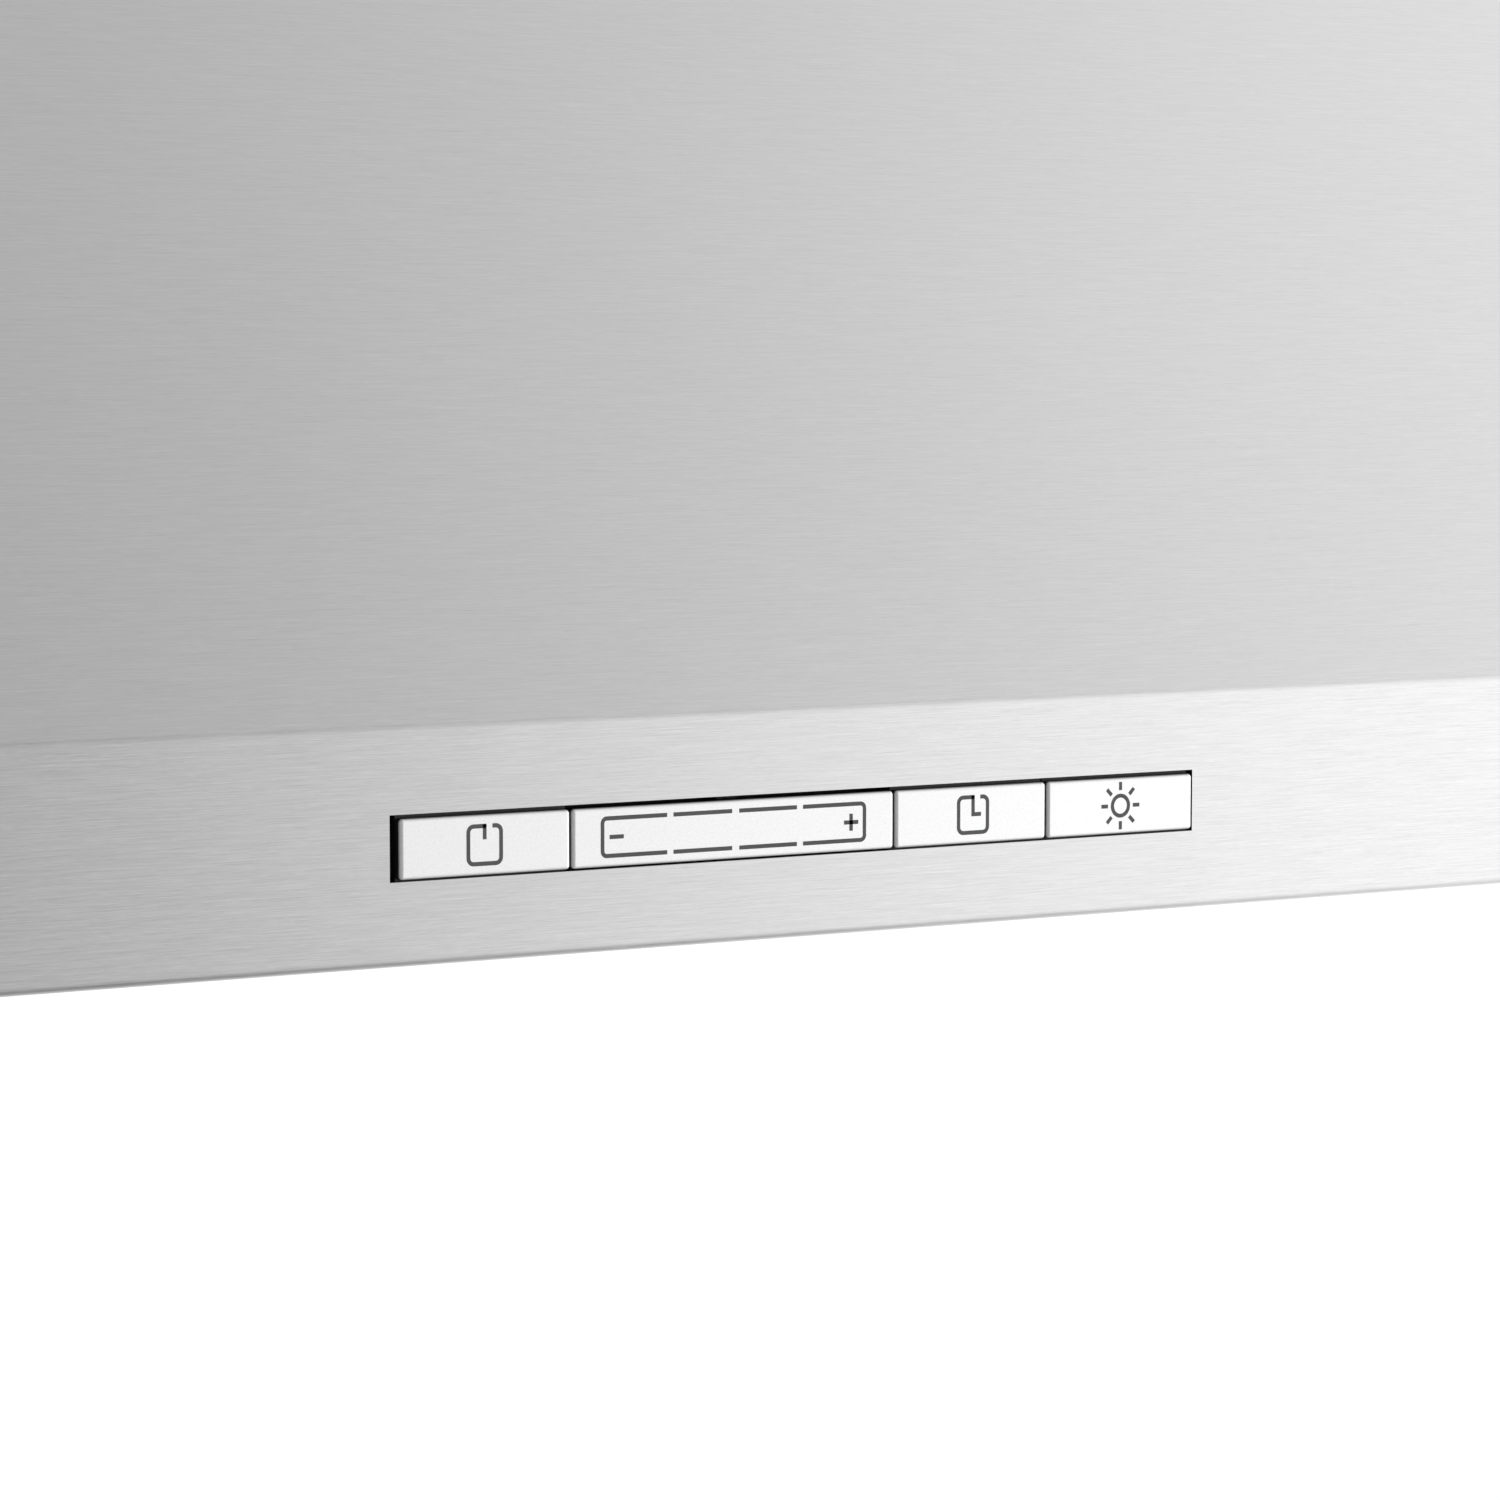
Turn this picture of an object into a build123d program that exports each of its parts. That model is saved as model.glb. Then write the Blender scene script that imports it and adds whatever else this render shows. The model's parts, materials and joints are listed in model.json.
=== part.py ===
"""A 30 inch under cabinet range hood, as separate pieces, in millimetres.

The origin is on the cabinet plane (the hood's top face), at the wall, on the centre line.
+X runs to the right of the person who stands at the hob, +Y runs to the wall and +Z up.
"""

import math
import os

from build123d import *

os.makedirs("parts", exist_ok=True)

# Body
WIDTH = 759.0
DEPTH = 508.0
HEIGHT = 229.0
TOP_DEPTH = 305.0  # flat top, as deep as the cabinet above it
FASCIA = 48.0  # height of the upright front band
SHEET = 1.0
BEND_R = 2.0  # outside radius of the front bends
FLANGE = 14.0  # width of the folded rims
LAP = 25.0  # how far the canopy's top flange runs under the top panel
SEAM = 0.5  # gap left between sheets that meet edge to edge

# Bottom pan
STRIP_DEPTH = 82.0  # flush front strip that holds the lamps
PAN_STEP = 20.0  # run of the sloped step between strip and recess
PAN_RECESS = 22.0  # how far the filters are set up into the hood
PAN_REAR = 14.0  # depth of the flush strip at the wall
PAN_REAR_STEP = 16.0  # run of the sloped step behind the recess

# Filters
FILTER_BAR = 16.0  # pan left between the two filter openings
OPENING_SIDE = 38.0  # pan left beside the openings
OPENING_FRONT = 7.0  # ledge left before and behind the openings
OPENING_REAR = 22.0
FILTER_GAP = 2.0
FILTER_HEIGHT = 10.0
FILTER_SHEET = 1.0
FILTER_LIP = 10.0
TONGUE = 10.0  # how far the filter's rear tongue lies over the ledge
TONGUE_IN = 32.0  # from the filter's sides to the tongue
BAFFLE_WIDTH = 24.0
BAFFLE_PITCH = 34.0
BAFFLE_SHEET = 0.8
BAFFLE_LIP = 5.0
TIE_ROD_D = 3.0
TIE_ROD_PITCH = 136.0
HANDLE_D = 4.0
HANDLE_WIDTH = 64.0
HANDLE_DROP = 16.0
CLIP_WIDTH = 30.0
CLIP_SHEET = 0.6
CLIP_TOP = 8.0  # leg on the filter, hook over the ledge and its gap to the ledge
CLIP_HOOK = 4.0
CLIP_CLEAR = 0.2

# Controls
BUTTON_PITCH = 40.0  # width of one button, and half the width of the speed rocker
BUTTON_HEIGHT = 12.2
BUTTON_GAP = 0.4  # between neighbours
BUTTON_PROUD = 1.0
BUTTON_TRAVEL = 1.0
BUTTON_EDGE_R = 0.8
SLOT_END_GAP = 1.1
SLOT_HEIGHT_GAP = 0.65
SLOT_RISE = 23.9  # slot's centre above the rim
ROW_SHIFT = 0.5  # the row of buttons sits this far to the right in its slot
ROW_DROP = 0.15  # and this far down
CAP_FLANGE = 1.8  # thickness of the flange that keeps a button in
CAP_FLANGE_RISE = 1.4
CAP_CLEAR = 0.15
POCKET_CLEAR = 0.25  # round the flanges and the ends of the row, in the carrier
STEM_D = 4.0
STEM_LENGTH = 2.8
PIVOT_BACK = 5.0  # rocker's axis behind its face
PIVOT_D = 2.4
PIVOT_CLEAR = 0.05
PIVOT_REACH = 1.6  # how far each pivot end sits in the carrier's wall
CARRIER_WALL = 2.0
CARRIER_DEPTH = 7.0
CARRIER_WEB = 1.5
STEM_HOLE_D = 6.0
DOME_GAP = 0.1  # left between stem and dome when a button is fully in
KEYPAD = 1.0
BOARD = 1.6
COVER_WALL = 1.5
COVER_DEPTH = 23.0
SOCKET_X = 14.0
SOCKET_Y = 9.0
SOCKET_Z = 8.0
CHIP = 7.0
CONTROL_LEAD_X = 20.0

# Lamps
LAMP_X = 235.0
LAMP_IN = 47.5  # lamp centre behind the back of the front band
LAMP_HOLE_D = 58.0
LAMP_BEZEL_D = 68.0
LAMP_BEZEL = 0.9
BEZEL_CHAMFER = 0.5
LAMP_LENS_D = 50.0  # what shows of the lens
LAMP_LENS_LAP = 1.5
LAMP_LENS = 2.0
LAMP_CAN_HEIGHT = 22.0
LAMP_CAN_WALL = 1.2

# Duct
DUCT_X = 254.0
DUCT_Y = 82.6
DUCT_BACK = 72.0  # duct's centre from the wall
DUCT_RISE = 45.0
DUCT_CLEAR = 0.2
DUCT_FLANGE = 13.0
BLANK_LAP = 10.0  # lap of the plate that closes the rear duct opening
FRAME_SHEET = 2.0
FLAP_SHEET = 0.8
FLAP_PIN_D = 4.0
FLAP_RISE = 4.0  # pin's axis above the cabinet plane
FLAP_CLEAR = 0.7
FLAP_LEDGE = 3.0  # stop strips under the flaps' free edges
KNUCKLE_CLEAR = 0.08
KNUCKLE_WALL = 1.1
KNUCKLES = 6

# Blower
WHEEL_R = 60.0
WHEEL_WIDTH = 72.0
WHEEL_CLEAR = 4.0
BLADE_DEPTH = 10.0
BLADE_CAMBER = 1.6  # sideways, at the blade's middle and at its outer edge
BLADE_LEAN = 6.0
BLADES = 36
BLADE_SHEET = 0.8
SCROLL_R = 68.0  # radius of the scroll's first quarter
SCROLL_GROWTH = 8.0  # added to the radius at each quarter turn
SCROLL_FLOOR_GAP = 7.0  # between the scroll and the filters
INLET_R = 50.0
SCROLL_FLANGE = 8.0
SHAFT_D = 8.0
SHAFT_LENGTH = 136.0
SHAFT_CHAMFER = 0.5
BEARING_CLEAR = 0.04
BEARING_D = 14.0
BEARING_LENGTH = 6.0
MOTOR_D = 84.0
MOTOR_WALL = 1.5
MOTOR_CAP = 3.0
STATOR_LENGTH = 40.0
STATOR_SLOTS = 12
STATOR_SLOT = 5.0
ROTOR_R = 22.0
AIR_GAP = 0.5
GLAND_WIDTH = 20.0
GLAND_REACH = 5.0
BRACKET_FOOT = 66.0
BAND_WIDTH = 30.0
WEB_LENGTH = 40.0
WEB_FRONT = 4.0
MOTOR_GAP = 4.0  # from the motor to each scroll
HUB_D = 18.0
HUB_LENGTH = 14.0

# Fastenings and wiring
SCREW_D = 4.0
SCREW_HEAD_D = 7.0
SCREW_HEAD = 2.0
SCREW_SLOT = 1.0
SCREW_CLEAR = 0.1
PAN_SCREW = 8.0
MOUNT_HOLE_D = 6.5
MOUNT_X = 350.0
MOUNT_FRONT = 265.0
MOUNT_REAR = 40.0
LEAD_D = 6.0
LAMP_LEAD_D = 4.0
CABLE_HOLE_D = 12.0
KNOCKOUT_D = 22.2
BOX_X = 110.0
BOX_Y = 62.0
BOX_Z = 54.0
BOX_BACK = 12.0
TERMINAL_PITCH = 12.0
TERMINAL_Y = 20.0
TERMINAL_Z = 14.0
DRIVER_X = 245.0
DRIVER_LENGTH = 90.0
DRIVER_Y = 40.0
DRIVER_Z = 30.0
DRIVER_BACK = 80.0
CAPACITOR_D = 30.0
CAPACITOR_LENGTH = 50.0
CAPACITOR_AWAY = 105.0
CABLE_X = -275.0
CABLE_Z = -35.0
PAN_SCREWS_X = 330.0
PAN_SCREWS_INNER_X = 120.0

# Places worked out from the sizes above
FRONT = -DEPTH
RIM = -HEIGHT
BEND_Z = RIM + FASCIA
HALF = WIDTH / 2
INSIDE = HALF - SHEET
SLOPE = (DEPTH - TOP_DEPTH) / (HEIGHT - FASCIA)  # run of the sloped front for each mm of fall
PAN_Z = RIM + SHEET
RECESS_Z = PAN_Z + PAN_RECESS
STRIP_BACK = FRONT + SHEET + STRIP_DEPTH
RECESS_FRONT = STRIP_BACK + PAN_STEP
RECESS_BACK = -PAN_REAR - PAN_REAR_STEP
OPENING_Y = (RECESS_FRONT + OPENING_FRONT, RECESS_BACK - OPENING_REAR)
OPENING_X = (FILTER_BAR / 2, INSIDE - OPENING_SIDE)
FILTER_Z = RECESS_Z
LAMP_Y = FRONT + SHEET + LAMP_IN
BUTTON_Z = RIM + SLOT_RISE - ROW_DROP
ROW_LENGTH = 5 * BUTTON_PITCH
SLOT_LENGTH = ROW_LENGTH + 2 * SLOT_END_GAP
SLOT_HEIGHT = BUTTON_HEIGHT + 2 * SLOT_HEIGHT_GAP
SLOT_X = -ROW_SHIFT
FASCIA_BACK = FRONT + SHEET
CAP_BACK = FASCIA_BACK + CAP_CLEAR + CAP_FLANGE
CARRIER_BACK = FASCIA_BACK + CARRIER_DEPTH
BOARD_BACK = CARRIER_BACK + KEYPAD + BOARD
PIVOT_Y = FRONT - BUTTON_PROUD + PIVOT_BACK
POCKET_HEIGHT = BUTTON_HEIGHT + 2 * (CAP_FLANGE_RISE + POCKET_CLEAR)
POCKET_LENGTH = SLOT_LENGTH + 4 * POCKET_CLEAR
DUCT_CENTRE = -DUCT_BACK
REAR_DUCT_Z = -(SHEET + FLANGE + SEAM + BLANK_LAP + DUCT_Y / 2)
DUCT_IN_X = DUCT_X / 2 - SHEET
DUCT_IN_Y = DUCT_Y / 2 - SHEET
CONNECTOR_Z = -2 * SHEET  # underside of the connector's flange
FRAME_Z = CONNECTOR_Z - FRAME_SHEET
SCROLL_WIDTH = WHEEL_WIDTH + 2 * WHEEL_CLEAR
SCROLL_X = DUCT_IN_X - SCROLL_WIDTH / 2  # middle of the right scroll
AXIS_Y = DUCT_CENTRE + DUCT_IN_Y - SCROLL_R - 2.5 * SCROLL_GROWTH
AXIS_Z = FILTER_Z + FILTER_HEIGHT + SCROLL_FLOOR_GAP + SHEET + SCROLL_R + 1.5 * SCROLL_GROWTH
MOTOR_LENGTH = 2 * (SCROLL_X - SCROLL_WIDTH / 2 - SHEET - MOTOR_GAP)

UP = (Align.CENTER, Align.CENTER, Align.MIN)
DOWN = (Align.CENTER, Align.CENTER, Align.MAX)
front_plane = Plane.XZ.offset(DEPTH)  # its x is +X, its y is +Z, and it faces the cook


def save(part, name):
    """Labels a finished piece and writes its STEP file."""
    part.label = name
    export_step(part, f"parts/{name}.step")


def strip(points, radius, width, x_start, thickness=SHEET, side=Side.LEFT):
    """A folded strip of sheet: a bent line in the YZ plane, thickened to one side, as wide as width."""
    with BuildPart() as folded:
        with BuildSketch(Plane.YZ.offset(x_start)):
            with BuildLine():
                path = FilletPolyline(*points, radius=radius)
                offset(path, amount=thickness, side=side)
            make_face()
        extrude(amount=width)
    return folded.part


def tube(points, diameter, share=0.45):
    """A round lead along straight runs, joined by arcs as large as the shorter run allows."""
    spots = [Vector(*p) for p in points]
    radii = []
    for before, here, after in zip(spots, spots[1:], spots[2:]):
        run = min((here - before).length, (after - here).length)
        turn = math.radians((here - before).get_angle(after - here))
        radii.append(share * run / math.tan(turn / 2))
    with BuildPart() as lead:
        with BuildLine() as route:
            FilletPolyline(*spots, radius=radii)
        with BuildSketch(Plane(origin=route.line @ 0, z_dir=route.line % 0)):
            Circle(diameter / 2)
        sweep()
    expected = math.pi * (diameter / 2) ** 2 * route.wire().length
    print("lead radii", [round(r) for r in radii], "volume share", lead.part.volume / expected)
    return lead.part


# ---------------------------------------------------------------- shell

pan_screws_x = (-PAN_SCREWS_X, -PAN_SCREWS_INNER_X, PAN_SCREWS_INNER_X, PAN_SCREWS_X)
front_screws_y = FRONT + (FLANGE + SHEET) / 2
rear_screws_y = -(FLANGE + SHEET) / 2
pan_screw_spots = [(x, y, RIM) for y in (front_screws_y, rear_screws_y) for x in pan_screws_x]
blank_screw_spots = [
    (across * (DUCT_X + BLANK_LAP) / 2, 0, REAR_DUCT_Z + along * (DUCT_Y + BLANK_LAP) / 2)
    for across in (-1, 1)
    for along in (-1, 1)
]


def countersink(grow=0.0):
    """A flat screw head through one sheet, head down, grown where it is cut out of the sheet."""
    Cone(
        SCREW_HEAD_D / 2 + grow,
        SCREW_D / 2 + grow,
        SHEET,
        align=UP,
        mode=Mode.SUBTRACT if grow else Mode.ADD,
    )


with BuildPart() as pan_screws:
    with Locations(*pan_screw_spots):
        countersink()
        Cylinder(SCREW_D / 2, PAN_SCREW, align=UP)
        Box(SCREW_SLOT * 4, SCREW_SLOT, SCREW_SLOT, mode=Mode.SUBTRACT)
save(pan_screws.part, "pan_screws")

with BuildPart() as blank_screws:
    with Locations(*blank_screw_spots):
        Cylinder(SCREW_D / 2, 2 * SHEET, rotation=(90, 0, 0), align=UP)
    with Locations(*[(x, -2 * SHEET, z) for x, y, z in blank_screw_spots]):
        Cylinder(SCREW_HEAD_D / 2, SCREW_HEAD, rotation=(90, 0, 0), align=UP)
    with Locations(*[(x, -2 * SHEET - SCREW_HEAD, z) for x, y, z in blank_screw_spots]):
        Box(SCREW_SLOT, SCREW_HEAD, SCREW_HEAD_D, mode=Mode.SUBTRACT)
save(blank_screws.part, "blank_screws")

with BuildPart() as canopy:
    add(
        strip(
            [
                (LAP - TOP_DEPTH, -SHEET),
                (-TOP_DEPTH - SHEET * SLOPE, -SHEET),
                (FRONT, BEND_Z),
                (FRONT, RIM),
                (FRONT + FLANGE, RIM),
            ],
            BEND_R,
            2 * INSIDE,
            -INSIDE,
        )
    )
    with BuildSketch(front_plane.offset(SHEET)):
        with Locations((SLOT_X, RIM + SLOT_RISE)):
            Rectangle(SLOT_LENGTH, SLOT_HEIGHT)
    extrude(amount=-3 * SHEET, mode=Mode.SUBTRACT)
    with Locations(*[spot for spot in pan_screw_spots if spot[1] == front_screws_y]):
        countersink(SCREW_CLEAR)
save(canopy.part, "canopy")


def end_panel(side):
    """The left (-1) or right (+1) side sheet, with a rim folded in at the bottom and at the top."""
    outline = [(0, RIM), (0, 0), (-TOP_DEPTH, 0), (FRONT, BEND_Z), (FRONT, RIM)]
    with BuildPart() as panel:
        with BuildSketch(Plane.YZ.offset(side * HALF)):
            with BuildLine():
                Polyline(*outline, close=True)
            make_face()
            fillet(vertices().group_by(Axis.X)[0], BEND_R)
        extrude(amount=-side * SHEET)
        rim_front = FRONT + FLANGE + SEAM
        rim_back = -FLANGE - SEAM
        with Locations((side * HALF, rim_front, RIM)):
            Box(
                FLANGE,
                rim_back - rim_front,
                SHEET,
                align=(Align.MAX if side > 0 else Align.MIN, Align.MIN, Align.MIN),
            )
        with Locations((side * HALF, -TOP_DEPTH + LAP + SEAM, -2 * SHEET)):
            Box(
                FLANGE,
                TOP_DEPTH - LAP - 2 * SEAM - 2 * SHEET,
                SHEET,
                align=(Align.MAX if side > 0 else Align.MIN, Align.MIN, Align.MIN),
            )
    return panel.part


save(end_panel(-1), "left_end_panel")
save(end_panel(1), "right_end_panel")

with BuildPart() as top_panel:
    with BuildSketch():
        with Locations((0, -TOP_DEPTH / 2)):
            Rectangle(2 * INSIDE, TOP_DEPTH)
        with Locations((0, DUCT_CENTRE)):
            Rectangle(DUCT_X + 2 * DUCT_CLEAR, DUCT_Y + 2 * DUCT_CLEAR, mode=Mode.SUBTRACT)
        with Locations((0, -(MOUNT_FRONT + MOUNT_REAR) / 2)):
            with GridLocations(2 * MOUNT_X, MOUNT_FRONT - MOUNT_REAR, 2, 2):
                Circle(MOUNT_HOLE_D / 2, mode=Mode.SUBTRACT)
    extrude(amount=-SHEET)
    with Locations((0, -2 * SHEET, -SHEET)):
        Box(2 * (INSIDE - FLANGE), SHEET, FLANGE, align=(Align.CENTER, Align.MIN, Align.MAX))
save(top_panel.part, "top_panel")

with BuildPart() as back_panel:
    with BuildSketch(Plane.XZ):
        with Locations((0, (RIM - SHEET) / 2)):
            Rectangle(2 * INSIDE, HEIGHT - SHEET)
        with Locations((0, REAR_DUCT_Z)):
            Rectangle(DUCT_X, DUCT_Y, mode=Mode.SUBTRACT)
        with Locations((CABLE_X, CABLE_Z)):
            Circle(KNOCKOUT_D / 2, mode=Mode.SUBTRACT)
    extrude(amount=SHEET)
    with Locations((0, 0, RIM)):
        Box(2 * INSIDE, FLANGE, SHEET, align=(Align.CENTER, Align.MAX, Align.MIN))
    for side in (-1, 1):
        with Locations((side * INSIDE, 0, RIM)):
            Box(
                SHEET,
                FLANGE,
                HEIGHT - FLANGE - 2 * SHEET,
                align=(Align.MAX if side > 0 else Align.MIN, Align.MAX, Align.MIN),
            )
    with Locations(*[spot for spot in pan_screw_spots if spot[1] == rear_screws_y]):
        countersink(SCREW_CLEAR)
    with Locations(*blank_screw_spots):
        Cylinder(SCREW_D / 2, 2 * SHEET, rotation=(90, 0, 0), mode=Mode.SUBTRACT)
save(back_panel.part, "back_panel")

with BuildPart() as rear_duct_cover:
    with BuildSketch(Plane.XZ.offset(SHEET)):
        with Locations((0, REAR_DUCT_Z)):
            Rectangle(DUCT_X + 2 * BLANK_LAP, DUCT_Y + 2 * BLANK_LAP)
    extrude(amount=SHEET)
    with Locations(*blank_screw_spots):
        Cylinder(SCREW_D / 2, 4 * SHEET, rotation=(90, 0, 0), mode=Mode.SUBTRACT)
save(rear_duct_cover.part, "rear_duct_cover")

with BuildPart() as bottom_pan:
    add(
        strip(
            [
                (FRONT + BEND_R + SEAM, PAN_Z),
                (STRIP_BACK, PAN_Z),
                (RECESS_FRONT, RECESS_Z),
                (RECESS_BACK, RECESS_Z),
                (-PAN_REAR, PAN_Z),
                (-SHEET - SEAM, PAN_Z),
            ],
            BEND_R,
            2 * (INSIDE - SEAM - SHEET),
            -INSIDE + SEAM + SHEET,
        )
    )
    for side in (-1, 1):
        with Locations((side * sum(OPENING_X) / 2, sum(OPENING_Y) / 2, RECESS_Z)):
            Box(
                OPENING_X[1] - OPENING_X[0],
                OPENING_Y[1] - OPENING_Y[0],
                4 * SHEET,
                mode=Mode.SUBTRACT,
            )
        with Locations((side * LAMP_X, LAMP_Y, PAN_Z)):
            Cylinder(LAMP_HOLE_D / 2, 4 * SHEET, mode=Mode.SUBTRACT)
    with Locations(*[(x, y, PAN_Z) for x, y, z in pan_screw_spots]):
        Cylinder(SCREW_D / 2, 4 * SHEET, mode=Mode.SUBTRACT)
save(bottom_pan.part, "bottom_pan")

# ---------------------------------------------------------------- filters

FILTER_X = OPENING_X[1] - OPENING_X[0] - 2 * FILTER_GAP
FILTER_Y = OPENING_Y[1] - OPENING_Y[0] - 2 * FILTER_GAP


def filter_pieces(side):
    """Frame, baffles, handle and spring clip of the left (-1) or right (+1) filter."""
    centre_x = side * sum(OPENING_X) / 2
    centre_y = sum(OPENING_Y) / 2
    front_y = centre_y - FILTER_Y / 2
    back_y = centre_y + FILTER_Y / 2
    middle_z = FILTER_Z + FILTER_HEIGHT / 2
    wall = 2 * FILTER_SHEET

    with BuildPart() as frame:
        with Locations((centre_x, centre_y, middle_z)):
            Box(FILTER_X, FILTER_Y, FILTER_HEIGHT)
            Box(FILTER_X - wall, FILTER_Y - wall, FILTER_HEIGHT - wall, mode=Mode.SUBTRACT)
            window = 2 * FILTER_LIP
            Box(FILTER_X - window, FILTER_Y - window, FILTER_HEIGHT, mode=Mode.SUBTRACT)
        with Locations((centre_x, back_y - FILTER_SHEET, RECESS_Z + SHEET)):
            Box(
                FILTER_X - 2 * TONGUE_IN,
                FILTER_SHEET + FILTER_GAP + TONGUE,
                BAFFLE_SHEET,
                align=(Align.CENTER, Align.MIN, Align.MIN),
            )

    inner_x = FILTER_X - wall
    inner_y = FILTER_Y - wall
    lower_count = int((FILTER_X - 2 * FILTER_LIP) // BAFFLE_PITCH)
    low_z = FILTER_Z + FILTER_SHEET
    high_z = FILTER_Z + FILTER_HEIGHT - FILTER_SHEET
    with BuildPart() as baffles:
        for count, base_z, up in ((lower_count, low_z, 1), (lower_count - 1, high_z, -1)):
            grow = Align.MIN if up > 0 else Align.MAX
            with Locations((centre_x, centre_y, base_z)):
                with GridLocations(BAFFLE_PITCH, 1, count, 1):
                    Box(
                        BAFFLE_WIDTH,
                        inner_y,
                        BAFFLE_SHEET,
                        align=(Align.CENTER, Align.CENTER, grow),
                    )
                with GridLocations(BAFFLE_PITCH, 1, count, 1):
                    with GridLocations(BAFFLE_WIDTH - BAFFLE_SHEET, 1, 2, 1):
                        Box(
                            BAFFLE_SHEET,
                            inner_y,
                            BAFFLE_LIP,
                            align=(Align.CENTER, Align.CENTER, grow),
                        )
        with Locations((centre_x, centre_y, middle_z)):
            with GridLocations(1, TIE_ROD_PITCH, 1, 3):
                Cylinder(TIE_ROD_D / 2, inner_x, rotation=(0, 90, 0))

    handle_y = front_y + FILTER_LIP / 2
    with BuildPart() as handle:
        with BuildLine() as bow:
            FilletPolyline(
                (centre_x - HANDLE_WIDTH / 2, handle_y, FILTER_Z),
                (centre_x - HANDLE_WIDTH / 2, handle_y, FILTER_Z - HANDLE_DROP),
                (centre_x + HANDLE_WIDTH / 2, handle_y, FILTER_Z - HANDLE_DROP),
                (centre_x + HANDLE_WIDTH / 2, handle_y, FILTER_Z),
                radius=2 * HANDLE_D,
            )
        with BuildSketch(Plane(origin=bow.line @ 0, z_dir=bow.line % 0)):
            Circle(HANDLE_D / 2)
        sweep()

    hook_z = RECESS_Z + SHEET + CLIP_CLEAR
    top_z = FILTER_Z + FILTER_HEIGHT
    clip = strip(
        [
            (front_y + CLIP_TOP, top_z),
            (front_y, top_z),
            (front_y, hook_z),
            (front_y - FILTER_GAP - CLIP_HOOK, hook_z),
        ],
        0,
        CLIP_WIDTH,
        centre_x - CLIP_WIDTH / 2,
        thickness=CLIP_SHEET,
        side=Side.RIGHT,
    )
    return frame.part, baffles.part, handle.part, clip


for side, name in ((-1, "left"), (1, "right")):
    for piece, word in zip(filter_pieces(side), ("frame", "baffles", "handle", "clip")):
        save(piece, f"{name}_filter_{word}")

# ---------------------------------------------------------------- lamps


def lamp_pieces(side):
    """Bezel, lens and can of one round LED lamp in the front strip."""
    centre = (side * LAMP_X, LAMP_Y, PAN_Z)
    with BuildPart() as bezel:
        with Locations(centre):
            Cylinder(LAMP_BEZEL_D / 2, LAMP_BEZEL, align=DOWN)
            Cylinder(LAMP_LENS_D / 2, LAMP_BEZEL, align=DOWN, mode=Mode.SUBTRACT)
        rim = bezel.edges().filter_by(GeomType.CIRCLE).group_by(Axis.Z)[0].sort_by(SortBy.LENGTH)[-1]
        chamfer(rim, BEZEL_CHAMFER)
    with BuildPart() as lens:
        with Locations(centre):
            Cylinder(LAMP_LENS_D / 2 + LAMP_LENS_LAP, LAMP_LENS, align=UP)
    can_radius = LAMP_HOLE_D / 2 - SEAM
    with BuildPart() as can:
        with Locations(centre):
            Cylinder(can_radius, LAMP_CAN_HEIGHT, align=UP)
            Cylinder(
                can_radius - LAMP_CAN_WALL,
                LAMP_CAN_HEIGHT - LAMP_CAN_WALL,
                align=UP,
                mode=Mode.SUBTRACT,
            )
    return bezel.part, lens.part, can.part


for side, name in ((-1, "left"), (1, "right")):
    for piece, word in zip(lamp_pieces(side), ("bezel", "lens", "can")):
        save(piece, f"{name}_lamp_{word}")

# ---------------------------------------------------------------- duct and damper

sleeve_centre = (0, DUCT_CENTRE)

with BuildPart() as duct_connector:
    with BuildSketch(Plane.XY.offset(CONNECTOR_Z)):
        with Locations(sleeve_centre):
            Rectangle(DUCT_X + 2 * DUCT_FLANGE, DUCT_Y + 2 * DUCT_FLANGE)
    extrude(amount=SHEET)
    with BuildSketch(Plane.XY.offset(CONNECTOR_Z)):
        with Locations(sleeve_centre):
            Rectangle(DUCT_X, DUCT_Y)
    extrude(amount=DUCT_RISE - CONNECTOR_Z)
    with BuildSketch(Plane.XY.offset(CONNECTOR_Z)):
        with Locations(sleeve_centre):
            Rectangle(2 * DUCT_IN_X, 2 * DUCT_IN_Y)
    extrude(amount=DUCT_RISE - CONNECTOR_Z, mode=Mode.SUBTRACT)
    ledge_z = FLAP_RISE - FLAP_SHEET / 2 - SEAM
    for side in (-1, 1):
        with Locations((0, DUCT_CENTRE + side * (DUCT_IN_Y - FLAP_LEDGE / 2), ledge_z)):
            Box(2 * DUCT_IN_X, FLAP_LEDGE, SHEET, align=DOWN)
    with Locations((0, DUCT_CENTRE, FLAP_RISE)):
        Cylinder(FLAP_PIN_D / 2, DUCT_X, rotation=(0, 90, 0), mode=Mode.SUBTRACT)
save(duct_connector.part, "duct_connector")

with BuildPart() as damper_pin:
    with Locations((0, DUCT_CENTRE, FLAP_RISE)):
        Cylinder(FLAP_PIN_D / 2, DUCT_X, rotation=(0, 90, 0))
save(damper_pin.part, "damper_pin")


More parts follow.
